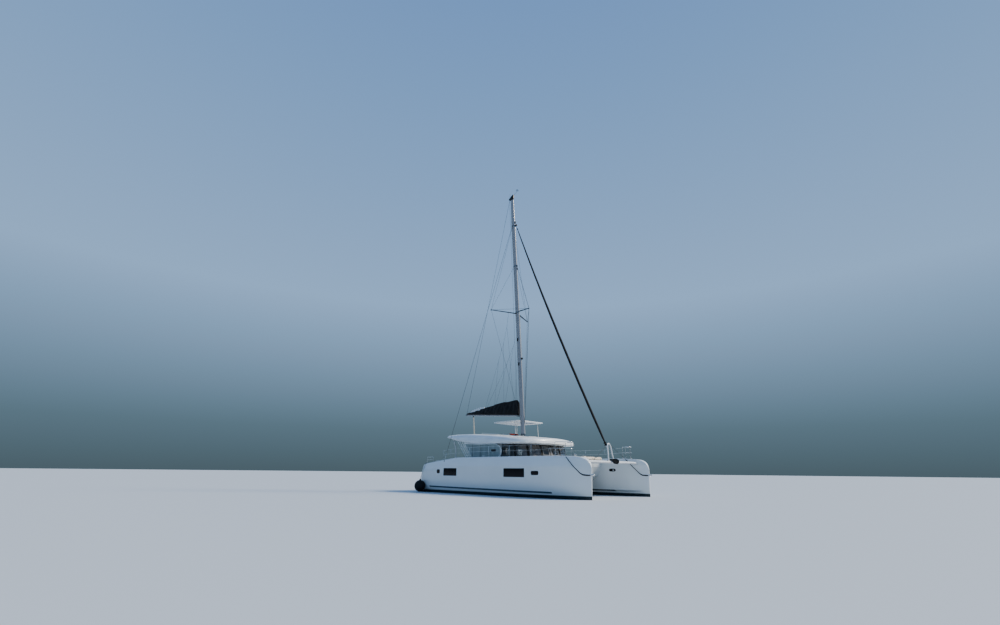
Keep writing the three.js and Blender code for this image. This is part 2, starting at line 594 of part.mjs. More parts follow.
const posts = HARDTOP_POSTS.map(({ x, y, lean }) => (
  highest(rod([x + lean, y, 3200], [x, y, HARDTOP.z + 10], 24, 10).subtract(raisedRoof))));
const hatchHole = box(HARDTOP_HATCH.x0, HARDTOP_HATCH.x1, HARDTOP_HATCH.y0, HARDTOP_HATCH.y1, 4300, 4600);
add('helm_hardtop', join([loft(hardtopRings, 2).subtract(hatchHole), ...posts]), 'gelcoat');

// Mast, raked aft, with gooseneck lug, spreaders and masthead crane
function mastAt(z) {
  return MAST_FOOT.clone().lerp(MAST_TOP, (z - MAST_FOOT.z) / (MAST_TOP.z - MAST_FOOT.z)).x;
}
function mastRing(z, scale = 1) {
  const ring = [];
  for (let i = 0; i < 14; i++) {
    const t = (Math.PI * 2 * i) / 14;
    ring.push([mastAt(z) + MAST_HALF.x * scale * Math.cos(t), MAST_HALF.y * scale * Math.sin(t), z]);
  }
  return ring;
}
const GOOSENECK_Z = 4675;
const mastRoof = ROOF_SECTIONS.find((row) => row.x === -600);
const mastFootZ = mastRoof.crown + 12;
let mast = loft([mastRing(mastFootZ), mastRing(HOUNDS_Z), mastRing(MAST_TOP.z, 0.8)], 2);
const lug = box(BOOM_PIVOT_X - 35, mastAt(GOOSENECK_Z) - 60, -30, 30, GOOSENECK_Z - 25, GOOSENECK_Z + 25)
  .subtract(rod([BOOM_PIVOT_X, 0, GOOSENECK_Z - 60], [BOOM_PIVOT_X, 0, GOOSENECK_Z + 60], 12.5, 12));
const crane = box(MAST_TOP.x - 260, MAST_TOP.x + 150, -35, 35, MAST_TOP.z - 60, MAST_TOP.z + 15);
const SPREADER = { z: 11650, reach: 1840, sweep: 730 };
const FORWARD_STRUT = { z: 11800, reach: 1070 };
const spreaderRoot = [mastAt(SPREADER.z), 0, SPREADER.z];
const strutRootX = mastAt(FORWARD_STRUT.z);
const spreaders = [
  rod(spreaderRoot, [spreaderRoot[0] - SPREADER.sweep, SPREADER.reach, SPREADER.z], 42, 8, 22),
  rod(spreaderRoot, [spreaderRoot[0] - SPREADER.sweep, -SPREADER.reach, SPREADER.z], 42, 8, 22),
  rod([strutRootX, 0, FORWARD_STRUT.z], [strutRootX + FORWARD_STRUT.reach, 0, FORWARD_STRUT.z], 34, 8, 20),
];
const step = rod([MAST_FOOT.x, 0, mastFootZ - 90], [MAST_FOOT.x, 0, mastFootZ + 8], 250, 16);
mast = join([mast, lug, crane, highest(step.subtract(raisedRoof)), ...spreaders]);
add('mast', mast, 'aluminium');
const post = rod([MAST_FOOT.x, 0, FLOOR_Z + GAP], [MAST_FOOT.x, 0, mastFootZ - 50], 60, 16)
  .subtract(roof.translate([0, 0, -GAP]));
add('mast_support_post', largest(post), 'aluminium');

// Boom with its fork and pin, and the furled sail in its bag
const BOOM = { half: 62, z0: 4629, z1: 5028, height: 100 };
const boomRings = [BOOM_PIVOT_X - 75, BOOM_END_X].map((x, i) => {
  const z = i ? BOOM.z1 : BOOM.z0;
  const { half, height } = BOOM;
  const corners = [[half * 0.6, 0], [half, 30], [half, height - 20], [half * 0.7, height]];
  const ring = [...corners, ...corners.map(([y, h]) => [-y, h]).reverse()];
  return ring.map(([y, h]) => [x, y, z + h]);
});
const fork = [GOOSENECK_Z + 31, GOOSENECK_Z - 51].map((z) => (
  box(BOOM_PIVOT_X - 90, BOOM_PIVOT_X + 25, -25, 25, z, z + 20)));
const pin = rod([BOOM_PIVOT_X, 0, GOOSENECK_Z - 60], [BOOM_PIVOT_X, 0, GOOSENECK_Z + 60], 11.7, 12);
add('boom', join([loft(boomRings), ...fork, pin]), 'aluminium');

// Sail bag sections: place along the boom, height above it, half widths at the foot and head
const BAG_SECTIONS = [
  { x: -930, rise: 820, foot: 115, head: 40 },
  { x: -1100, rise: 960, foot: 145, head: 50 },
  { x: -1950, rise: 850, foot: 165, head: 60 },
  { x: -2970, rise: 725, foot: 165, head: 60 },
  { x: -3850, rise: 530, foot: 160, head: 60 },
  { x: -4600, rise: 370, foot: 150, head: 55 },
  { x: -5610, rise: 160, foot: 120, head: 45 },
  { x: -6000, rise: 70, foot: 95, head: 35 },
];
const bagRings = BAG_SECTIONS.map(({ x, rise, foot, head }) => {
  const z = THREE.MathUtils.mapLinear(x, BOOM_PIVOT_X, BOOM_END_X, BOOM.z0, BOOM.z1) + BOOM.height + GAP;
  const right = [[foot * 0.7, 0], [foot, rise * 0.15], [foot * 0.85, rise * 0.5], [head, rise * 0.93]];
  const left = right.map(([y, h]) => [-y, h]).reverse();
  return [...right, [0, rise], ...left].map(([y, h]) => [x, y, z + h]);
});
add('sail_bag', loft(bagRings), 'canvas');

// Standing rigging: cap shrouds to the chainplates and the forestay with its furled jib
for (const { name, side } of SIDES) {
  const foot = [-3780, 3700 * side, 1800];
  const head = [mastAt(HOUNDS_Z) - 10, (MAST_HALF.y + 7) * side, HOUNDS_Z];
  const plateBox = box(foot[0] - 40, foot[0] + 40, ...mirrored(3660, 3740, side), 1730, 1850);
  const shroud = rod(foot, head, 6, 6).add(plateBox).subtract(hulls[name].translate([0, 0.5 * side, GAP]));
  add(`cap_shroud_${name}`, largest(shroud), 'steel');
}
const FORESTAY = { footX: 5470, footZ: 2610, headZ: 18900, sag: 180 };
// The furled sail's radius at shares of the way up its stay
const FURL = [
  [0, 22], [0.03, 60], [0.12, 74], [0.4, 78], [0.7, 62],
  [0.93, 34], [0.958, 26], [0.97, 14], [1, 14],
];
const stayHeadX = mastAt(FORESTAY.headZ) + MAST_HALF.x + FURL.at(-1)[1] + GAP;
const stayRings = FURL.map(([t, radius]) => {
  const x = THREE.MathUtils.lerp(FORESTAY.footX, stayHeadX, t) - FORESTAY.sag * 4 * t * (1 - t);
  const z = THREE.MathUtils.lerp(FORESTAY.footZ, FORESTAY.headZ, t);
  const ring = [];
  for (let i = 0; i < 10; i++) {
    const a = (Math.PI * 2 * i) / 10;
    ring.push([x + radius * Math.cos(a), radius * Math.sin(a), z]);
  }
  return ring;
});
add('forestay_jib', loft(stayRings, 2), 'canvas');

// Forward crossbeam with its striker, longeron, nets and ground tackle
const beamEnd = alongHull(CROSSBEAM.x - 195, 'innerY') - GAP;
const APEX_RADIUS = 36;
const apex = [FORESTAY.footX, 0, FORESTAY.footZ - APEX_RADIUS - GAP];
const beamPoint = (y) => [CROSSBEAM.x, y, CROSSBEAM.z];
const beam = rod(beamPoint(-beamEnd), beamPoint(beamEnd), CROSSBEAM.radius, 14);
const arch = [[5710, 240, 1810], [5625, 150, 2600], [5605, 85, 2705], [5600, 0, 2735]];
const archPath = [...arch, ...arch.slice(0, -1).reverse().map(([x, y, z]) => [x, -y, z])];
const ARCH_RADIUS = 34;
const stayLug = rod([5600, 0, 2712], [FORESTAY.footX, 0, apex[2] - 14], 14);
const strikerPieces = [beam, rail(archPath, ARCH_RADIUS), stayLug, ball(apex, APEX_RADIUS, 8)];
for (const side of [1, -1]) {
  strikerPieces.push(rod([CROSSBEAM.x, 1650 * side, 1810], [5610, 110 * side, 2680], 9, 6));
  const flange = box(CROSSBEAM.x - 110, CROSSBEAM.x + 110, ...mirrored(beamEnd - 14, beamEnd, side),
    CROSSBEAM.z - 110, CROSSBEAM.z + 110);
  strikerPieces.push(flange);
}
const LONGERON = { half: 75, z0: 1720, z1: 1810 };
const longeron = box(FOREDECK_X + GAP, CROSSBEAM.x, -LONGERON.half, LONGERON.half, LONGERON.z0, LONGERON.z1);
strikerPieces.push(longeron);
add('crossbeam', join(strikerPieces), 'aluminium');
for (const { name, side } of SIDES) {
  const outer = [3700, 4300, 5100, 5560].map((x) => [x, (alongHull(x, 'innerY') - 45) * side]);
  const net = [[FOREDECK_X + GAP, 90 * side], [FOREDECK_X + GAP, 2100 * side], ...outer,
    [5560, 90 * side]];
  add(`trampoline_${name}`, plate(net, 1826, 1836), 'canvas');
}
const windlass = join([
  box(3200, 3500, -110, 110, DECK_Z + GAP, DECK_Z + 110),
  rod([3330, -105, DECK_Z + 150], [3330, 150, DECK_Z + 150], 85, 12),
]);
add('windlass', windlass, 'steel');

// Bow rollers for the mooring bridle, one on each stem
for (const { name, side } of SIDES) {
  const y = 2790 * side;
  const eye = rod([6330, y, 1130], [6450, y, 1130], 22, 8).add(ball([6470, y, 1130], 34, 10))
    .subtract(hulls[name].translate([GAP, 0, 0]));
  add(`bow_eye_${name}`, eye.decompose().at(-1), 'steel');
}

// Rails: pulpits at the bows, stanchions with their wires, stern rails
const PULPIT_PATH = [[4500, 3230], [5060, 3100], [5300, 2950], [5300, 2750], [5060, 2620]];
const STANCHIONS = [-4000, -3320, -1600, 0, 1600, 3100];
const PULPIT_SEAT = [[5060, 2720], [5060, 3020], [5290, 2940], [5290, 2760]];
const PULPIT_SEAT_Z = 2645;
const STERN_RAIL = { path: [[-5060, 3560], [-5700, 3560]], top: 2090, middle: 1930 };
const TUBE = 13;
for (const { name, side } of SIDES) {
  const raised = hulls[name].translate([0, 0, GAP]);
  const at = ([x, y], up) => [x, y * side, alongHull(x, 'deck') + up];
  const pulpit = [
    rail(PULPIT_PATH.map((p) => at(p, PULPIT_HEIGHT)), TUBE),
    rail(PULPIT_PATH.map((p) => at(p, PULPIT_HEIGHT * 0.52)), TUBE * 0.7),
    ...[0, 1, 3, 4].map((i) => rod(at(PULPIT_PATH[i], -40), at(PULPIT_PATH[i], PULPIT_HEIGHT), TUBE)),
    ...[0, 4].map((i) => ball(at(PULPIT_PATH[i], PULPIT_HEIGHT), TUBE * BEND_SWELL)),
    plate(PULPIT_SEAT.map(([x, y]) => [x, y * side]), PULPIT_SEAT_Z, PULPIT_SEAT_Z + 22),
    rod([5070, 3000 * side, PULPIT_SEAT_Z + 11], at(PULPIT_PATH[1], PULPIT_HEIGHT), TUBE * 0.7),
    rod([5285, 2830 * side, PULPIT_SEAT_Z + 11],
      [5300, 2830 * side, at(PULPIT_PATH[3], PULPIT_HEIGHT)[2]], TUBE * 0.7),
  ];
  add(`pulpit_${name}`, largest(join(pulpit).subtract(raised)), 'steel');

  const wires = [0.52, 0.97].map((share) => (
    rail([...STANCHIONS].map((x) => at([x, alongHull(x, 'deckY') - 60], RAIL_HEIGHT * share)), 5, 6)));
  const posts = STANCHIONS.map((x) => {
    const p = [x, alongHull(x, 'deckY') - 60];
    return rod(at(p, -40), at(p, RAIL_HEIGHT), TUBE);
  });
  add(`lifelines_${name}`, largest(join([...wires, ...posts]).subtract(raised)), 'steel');

  const { path, top, middle } = STERN_RAIL;
  const level = (z) => path.map(([x, y]) => [x, y * side, z]);
  const stern = [
    rail(level(top), TUBE),
    rail(level(middle), TUBE * 0.7),
    ...path.map((p) => rod(at(p, -40), [p[0], p[1] * side, top], TUBE)),
    ...level(top).map((p) => ball(p, TUBE * BEND_SWELL)),
  ];
  add(`stern_rail_${name}`, largest(join(stern).subtract(raised)), 'steel');
}

// Cockpit and saloon furniture, heights above the floor
const SEAT = 440;
const TABLE = { low: 690, high: 725 };
const COUNTER = 910;
const onFloor = FLOOR_Z + GAP;
const aftBench = slab([[-5240, onFloor], [-4640, onFloor], [-4640, FLOOR_Z + SEAT], [-5100, FLOOR_Z + SEAT],
  [-5130, FLOOR_Z + 850], [-5240, FLOOR_Z + 850]], -1650, 1650);
add('cockpit_bench', aftBench, 'gelcoat');
add('cockpit_lounge', box(-4400, -2700, -2140, -1500, onFloor, FLOOR_Z + SEAT), 'gelcoat');
function table(x0, x1, y0, y1) {
  const middle = [(x0 + x1) / 2, (y0 + y1) / 2];
  const leg = rod([...middle, onFloor], [...middle, FLOOR_Z + TABLE.low + 10], 55, 12);
  return box(x0, x1, y0, y1, FLOOR_Z + TABLE.low, FLOOR_Z + TABLE.high).add(leg);
}
add('cockpit_table', table(-4450, -3600, -1250, -350), 'wood');
add('saloon_sofa', join([
  box(0, 1600, -2100, -1500, onFloor, FLOOR_Z + SEAT),
  box(1000, 1600, -2100, -300, onFloor, FLOOR_Z + SEAT),
]), 'vinyl');
add('saloon_table', table(100, 900, -1400, -500), 'wood');
add('galley_unit', box(-1900, -100, 1450, 2100, onFloor, FLOOR_Z + COUNTER), 'wood');

// Ball fender at the starboard quarter, flattened where it leans on the topside
const FENDER = { x: -5750, y: -3990, z: 360, radius: 340 };
const fender = ball([FENDER.x, FENDER.y, FENDER.z], FENDER.radius, 18)
  .subtract(hulls.starboard.translate([0, -GAP, 0]));
add('ball_fender', largest(fender), 'rubber');

export default catamaran;
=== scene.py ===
"""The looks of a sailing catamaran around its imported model. Metres, +X forward, +Y to port, +Z up."""
import math

import bmesh
import bpy
import numpy as np
from mathutils import Matrix, Vector


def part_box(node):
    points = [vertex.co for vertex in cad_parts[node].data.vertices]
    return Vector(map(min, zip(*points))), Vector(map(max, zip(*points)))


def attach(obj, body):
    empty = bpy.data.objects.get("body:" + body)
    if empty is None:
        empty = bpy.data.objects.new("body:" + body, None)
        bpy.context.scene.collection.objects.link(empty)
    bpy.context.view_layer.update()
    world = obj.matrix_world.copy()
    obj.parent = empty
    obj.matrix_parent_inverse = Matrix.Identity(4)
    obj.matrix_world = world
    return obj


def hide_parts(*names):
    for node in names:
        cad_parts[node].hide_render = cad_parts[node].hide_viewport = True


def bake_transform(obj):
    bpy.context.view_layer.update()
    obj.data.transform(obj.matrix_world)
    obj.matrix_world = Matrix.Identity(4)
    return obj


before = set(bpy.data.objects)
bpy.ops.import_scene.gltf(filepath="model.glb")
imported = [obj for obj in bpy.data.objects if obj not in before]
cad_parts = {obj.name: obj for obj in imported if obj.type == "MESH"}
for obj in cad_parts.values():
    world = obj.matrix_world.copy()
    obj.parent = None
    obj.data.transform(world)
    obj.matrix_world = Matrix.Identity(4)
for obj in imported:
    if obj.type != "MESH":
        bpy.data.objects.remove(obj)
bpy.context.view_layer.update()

# Studio
# The boat floats, so a pale floor lies at its waterline. The camera stands a little
# under deck height off the starboard bow. A soft sun stands ahead and to port, so the near side
# lies in open shade as in the photograph.
CAMERA_AT = (19.996, -22.745, 1.215)
CAMERA_YAW, CAMERA_PITCH, CAMERA_ROLL = (math.radians(a) for a in (45.025, 18.755, 0.562))
FOCAL_SHARE = 0.47009  # focal length as a share of the picture's width


def linear(code, alpha=1.0):
    """An sRGB hex colour such as "c8d0d2" as linear RGBA."""
    srgb = np.array([int(code[i:i + 2], 16) for i in (0, 2, 4)]) / 255
    rgb = np.where(srgb <= 0.04045, srgb / 12.92, ((srgb + 0.055) / 1.055) ** 2.4)
    return (*rgb.tolist(), alpha)


def feed(node, inputs):
    """Sets or links a node's inputs. A node given as a value is linked by its first output in
    use, and a text is an sRGB hex colour."""
    for key, value in inputs.items():
        if isinstance(value, bpy.types.Node):
            value = next(end for end in value.outputs if end.enabled)
        if isinstance(value, bpy.types.NodeSocket):
            node.id_data.links.new(value, node.inputs[key])
        else:
            node.inputs[key].default_value = linear(value) if isinstance(value, str) else value


def add(tree, kind, inputs=None, stops=None, **settings):
    """Adds a shader node, sets its properties and its ramp's stops, and feeds its inputs."""
    made = tree.nodes.new("ShaderNode" + kind)
    for key, value in settings.items():
        setattr(made, key, value)
    if stops:
        elements = made.color_ramp.elements
        while len(elements) < len(stops):
            elements.new(0.5)
        for element, (place, colour) in zip(elements, stops):
            element.position = place
            element.color = linear(colour)
    feed(made, inputs or {})
    return made


def new_finish(name, **sockets):
    """A material with one Principled shader, its sockets set. Gives the material, its tree, its
    shader and the Object coordinates, which every pattern reads."""
    made = bpy.data.materials.new(name)
    made.use_nodes = True
    tree = made.node_tree
    shader = tree.nodes["Principled BSDF"]
    feed(shader, {key.replace("_", " "): value for key, value in sockets.items()})
    return made, tree, shader, add(tree, "TexCoord").outputs["Object"]


camera_data = bpy.data.cameras.new("camera")
camera_data.sensor_width = 36
camera_data.lens = FOCAL_SHARE * 36
camera_data.clip_end = 2000
camera = bpy.data.objects.new("camera", camera_data)
bpy.context.scene.collection.objects.link(camera)
sin_yaw, cos_yaw = math.sin(CAMERA_YAW), math.cos(CAMERA_YAW)
ahead = Vector((-sin_yaw * math.cos(CAMERA_PITCH), cos_yaw * math.cos(CAMERA_PITCH), math.sin(CAMERA_PITCH)))
level_right = Vector((cos_yaw, sin_yaw, 0))
level_up = level_right.cross(ahead)
right = level_right * math.cos(CAMERA_ROLL) + level_up * math.sin(CAMERA_ROLL)
up = level_up * math.cos(CAMERA_ROLL) - level_right * math.sin(CAMERA_ROLL)
camera.matrix_world = Matrix.Translation(CAMERA_AT) @ Matrix((right, up, -ahead)).transposed().to_4x4()
bpy.context.scene.camera = camera

floor_mesh = bpy.data.meshes.new("floor")
FLOOR = 900
floor_mesh.from_pydata([(-FLOOR, -FLOOR, 0), (FLOOR, -FLOOR, 0), (FLOOR, FLOOR, 0), (-FLOOR, FLOOR, 0)], [],
                       [(0, 1, 2, 3)])
floor = bpy.data.objects.new("floor", floor_mesh)
bpy.context.scene.collection.objects.link(floor)
floor_mesh.materials.append(new_finish("matt_floor_paint", Roughness=0.55, Base_Color="c9cfd3")[0])

world = bpy.data.worlds.new("studio")
bpy.context.scene.world = world
world.use_nodes = True
dome = world.node_tree
for old in list(dome.nodes):
    dome.nodes.remove(old)
height = add(dome, "SeparateXYZ", {"Vector": add(dome, "TexCoord").outputs["Generated"]})
tint = add(dome, "ValToRGB", {"Fac": height.outputs["Z"]},
           stops=[(0.0, "5d6f78"), (0.08, "6b8290"), (0.33, "a0c0e4"), (1.0, "6f98d2")])
add(dome, "OutputWorld", {"Surface": add(dome, "Background", {"Color": tint, "Strength": 0.8})})

sun_data = bpy.data.lights.new("soft_sun", "SUN")
sun_data.energy = 3.6
sun_data.angle = math.radians(14)
sun_data.color = linear("fff2e0")[:3]
sun = bpy.data.objects.new("soft_sun", sun_data)
sun.rotation_euler = Vector((0.62, 0.62, 0.72)).to_track_quat("Z", "Y").to_euler()
bpy.context.scene.collection.objects.link(sun)
bpy.context.scene.view_settings.look = "AgX - Medium High Contrast"

# Hulls
# Two white gelcoat laminate hulls, moulded in one piece with their decks. Dark antifouling
# covers them up to just above the water, with a thin grey stripe over it.
HULL_COLUMNS = ("x", "deck", "deck_y", "side_y", "inner_y", "mid_y", "half", "draft")
HULL_SECTIONS = np.array([
    (-6.400, 0.380, 3.400, 3.480, 2.150, 2.850, 0.560, 0.180),
    (-6.300, 0.470, 3.500, 3.570, 2.150, 2.850, 0.580, 0.220),
    (-6.180, 0.760, 3.570, 3.650, 2.150, 2.850, 0.590, 0.240),
    (-5.960, 1.500, 3.630, 3.740, 2.150, 2.850, 0.600, 0.280),
    (-5.890, 1.640, 3.640, 3.760, 2.150, 2.850, 0.605, 0.295),
    (-4.800, 1.800, 3.650, 3.820, 2.150, 2.850, 0.640, 0.420),
    (-3.600, 1.925, 3.650, 3.845, 2.150, 2.850, 0.660, 0.510),
    (-2.400, 2.020, 3.650, 3.850, 2.150, 2.850, 0.670, 0.580),
    (-0.600, 2.020, 3.650, 3.850, 2.150, 2.850, 0.670, 0.620),
    (1.400, 2.020, 3.620, 3.840, 2.150, 2.850, 0.620, 0.620),
    (3.000, 2.020, 3.540, 3.770, 2.150, 2.850, 0.540, 0.590),
    (3.660, 2.020, 3.480, 3.690, 2.150, 2.850, 0.480, 0.570),
    (4.300, 2.020, 3.380, 3.590, 2.240, 2.850, 0.410, 0.550),
    (5.100, 2.005, 3.210, 3.380, 2.380, 2.840, 0.290, 0.500),
    (5.720, 1.960, 3.020, 3.140, 2.565, 2.815, 0.170, 0.450),
    (6.000, 1.860, 2.920, 3.000, 2.650, 2.800, 0.105, 0.410),
    (6.130, 1.770, 2.870, 2.925, 2.695, 2.795, 0.072, 0.385),
    (6.200, 1.680, 2.845, 2.885, 2.720, 2.792, 0.052, 0.365),
    (6.262, 1.560, 2.818, 2.843, 2.745, 2.790, 0.032, 0.345),
    (6.290, 1.440, 2.800, 2.812, 2.768, 2.790, 0.016, 0.325),
])
HULL_AFT_X, HULL_LENGTH = -6.4, 12.69
STEM_RAKE, RAKE_FROM_X, RAKE_LENGTH = 0.052, 4.3, 1.78
INNER_SHARE = 0.8  # half width of the bilge on the inner side, as a share of the outer side's
TOPSIDE_SHARES = (0, 0.23, 0.44, 0.75)  # heights of the topside's four widths, as shares of the deck's
SIDES = {"starboard": -1, "port": 1}


def smooth(xs, ys, x):
    """A curve through the points that never swings past them: cubic pieces whose slopes are
    the harmonic means of the two neighbouring slopes, or level where those change sign."""
    xs, ys, x = (np.asarray(v, float) for v in (xs, ys, x))
    step, slope = np.diff(xs), np.diff(ys) / np.diff(xs)
    inner = np.where(slope[1:] * slope[:-1] > 0,
                     2 * slope[1:] * slope[:-1] / (slope[1:] + slope[:-1] + 1e-12), 0)
    tangent = np.concatenate([slope[:1], inner, slope[-1:]])
    i = np.clip(np.searchsorted(xs, x) - 1, 0, len(xs) - 2)
    t = (x - xs[i]) / step[i]
    return ((1 + 2 * t) * (1 - t) ** 2 * ys[i] + t * (1 - t) ** 2 * step[i] * tangent[i]
            + t * t * (3 - 2 * t) * ys[i + 1] + t * t * (t - 1) * step[i] * tangent[i + 1])


def hull_column(name, x):
    """One column of the hull table at any place along it."""
    return smooth(HULL_SECTIONS[:, 0], HULL_SECTIONS[:, HULL_COLUMNS.index(name)], x)


def deck_height(x):
    return float(hull_column("deck", x))


def stem_rake(x):
    """How far the hull leans forward for each metre of height: 0 up to RAKE_FROM_X, then an S
    curve s * s * (3 - 2 s) of the share s of RAKE_LENGTH."""
    share = np.clip((x - RAKE_FROM_X) / RAKE_LENGTH, 0, 1)
    return STEM_RAKE * share * share * (3 - 2 * share)


def topside_widths(mid_y, half, side_y):
    """The outer topside's distance from the boat's middle at the four TOPSIDE_SHARES."""
    return [mid_y + half, 0.2 * (mid_y + half) + 0.8 * side_y, side_y - 0.003, side_y]


def bevel_share(b):
    """How far in the bevel under the deck edge has come at the share b of its height."""
    return 0.25 * b ** 2 + 0.75 * b


def grid_faces(rows, cols, wrap_rows=False, wrap_cols=False):
    """Quads over a grid of points numbered row by row; a wrapped direction closes on itself."""
    r, c = np.meshgrid(np.arange(rows if wrap_rows else rows - 1),
                       np.arange(cols if wrap_cols else cols - 1), indexing="ij")
    r1, c1 = (r + 1) % rows, (c + 1) % cols
    return np.stack([r * cols + c, r * cols + c1, r1 * cols + c1, r1 * cols + c], -1).reshape(-1, 4).tolist()


def skin(rings):
    """A closed skin through rings of points (rows x cols x 3), with a flat face on each end."""
    rings = np.asarray(rings, float)
    rows, cols = rings.shape[:2]
    faces = grid_faces(rows, cols, wrap_cols=True)
    faces += [list(range(cols))[::-1], list(range((rows - 1) * cols, rows * cols))]
    return rings.reshape(-1, 3), faces


def block(x0, x1, y0, y1, z0, z1):
    """A plain box, as the outline of its foot carried up to its top."""
    foot = [(x0, y0), (x1, y0), (x1, y1), (x0, y1)]
    return skin([[(x, y, z) for x, y in foot] for z in (z0, z1)])


def full_turn(count):
    """Even angles round a circle."""
    return np.linspace(0, 2 * np.pi, count, endpoint=False)


def tube(path, radius, sides=12, closed=False):
    """A round bar along a path: circles across it, carried round its bends without twist.
    radius is one value, or one for each point of the path."""
    path = np.asarray(path, float)
    ahead_of = np.roll(path, -1, 0) - path
    behind = path - np.roll(path, 1, 0)
    along = ahead_of + behind
    if not closed:
        along[0], along[-1] = ahead_of[0], behind[-1]
    along /= np.linalg.norm(along, axis=1)[:, None]
    side = np.cross(along[0], (0, 0, 1) if abs(along[0][2]) < 0.9 else (1, 0, 0))
    sides_out = []
    for way in along:
        side = side - way * side.dot(way)
        side = side / np.linalg.norm(side)
        sides_out.append(side)
    across = np.array(sides_out)
    other = np.cross(along, across)
    turn = full_turn(sides)[None, :, None]
    reach = np.broadcast_to(np.asarray(radius, float), (len(path),))[:, None, None]
    rings = path[:, None] + reach * (np.cos(turn) * across[:, None] + np.sin(turn) * other[:, None])
    if closed:
        return rings.reshape(-1, 3), grid_faces(len(path), sides, True, True)
    return skin(rings)


def lathe(profile, at, axis=(0, 0, 1), sides=32):
    """A turned shape: each (radius, height) of the profile swept round an axis through a point."""
    axis = Vector(axis).normalized()
    first = axis.orthogonal().normalized()
    second = axis.cross(first)
    turn = full_turn(sides)
    circle = np.outer(np.cos(turn), first) + np.outer(np.sin(turn), second)
    rings = [np.array(at) + np.array(axis) * h + circle * max(r, 1e-4) for r, h in profile]
    return skin(rings)


def finished_mesh(obj, angle=35):
    """Merges doubles, turns faces outwards and shades smooth except over sharp edges."""
    work = bmesh.new()
    work.from_mesh(obj.data)
    bmesh.ops.remove_doubles(work, verts=work.verts, dist=2e-5)
    bmesh.ops.recalc_face_normals(work, faces=work.faces)
    work.to_mesh(obj.data)
    work.free()
    obj.data.shade_smooth()
    obj.data.set_sharp_from_angle(angle=math.radians(angle))


def joined(name, parts, finish, angle=35):
    """One object made of several parts (points, faces), with its finish."""
    points, faces, start = [], [], 0
    for part_points, part_faces in parts:
        points.append(np.asarray(part_points, float))
        faces += [[i + start for i in face] for face in part_faces]
        start += len(part_points)
    mesh = bpy.data.meshes.new(name)
    mesh.from_pydata(np.concatenate(points).tolist(), [], faces)
    made = bpy.data.objects.new(name, mesh)
    bpy.context.scene.collection.objects.link(made)
    mesh.materials.append(finish)
    finished_mesh(made, angle)
    return made


def piece(name, parts, finish, body="root", stands_for=(), bevel=0.0, angle=35):
    """A joined object that rides on a body, takes its finish and may stand for CAD nodes."""
    made = joined(name, parts, finish, angle)
    if bevel:
        edge = made.modifiers.new("rounded_edges", "BEVEL")
        edge.width = bevel
        edge.segments = 3
        edge.limit_method = "ANGLE"
        edge.angle_limit = math.radians(40)
    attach(made, body)
    if stands_for:
        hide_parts(*stands_for)
    return made


def cut(obj, cutters):
    """Takes the joined cutters out of a piece and keeps the result as its mesh."""
    tool = joined(obj.name + "_cutter", cutters, obj.data.materials[0])
    change = obj.modifiers.new("cut", "BOOLEAN")
    change.operation = "DIFFERENCE"
    change.solver = "EXACT"
    change.use_self = True
    change.object = tool
    bpy.context.view_layer.update()
    shown = obj.evaluated_get(bpy.context.evaluated_depsgraph_get())
    result = bpy.data.meshes.new_from_object(shown)
    obj.modifiers.clear()
    obj.data = result
    bpy.data.objects.remove(tool)
    finished_mesh(obj)


def non_skid(tree, place, level, past):
    """The moulded non-skid: how far the surface lies flat, from 0 at a normal's height of level to
    1 at past, and the height of its 5 mm pyramids there."""
    facing = add(tree, "SeparateXYZ", {"Vector": add(tree, "NewGeometry").outputs["Normal"]})
    flat = add(tree, "MapRange", {"Value": facing.outputs["Z"], "From Min": level, "From Max": past})
    pyramids = add(tree, "TexVoronoi", {"Vector": place, "Scale": 190.0}, distance="CHEBYCHEV")
    return flat, add(tree, "Math", {0: pyramids, 1: flat}, operation="MULTIPLY")


PAINT_TOP_Z = 0.16
PAINT_TONES = [(0.3, "15262c"), (0.6, "22383f"), (0.8, "3c4d4e")]
STRIPE = {"slope": -0.0077, "z": 0.311, "half": 0.042, "middle_x": -0.36, "reach": 4.74}


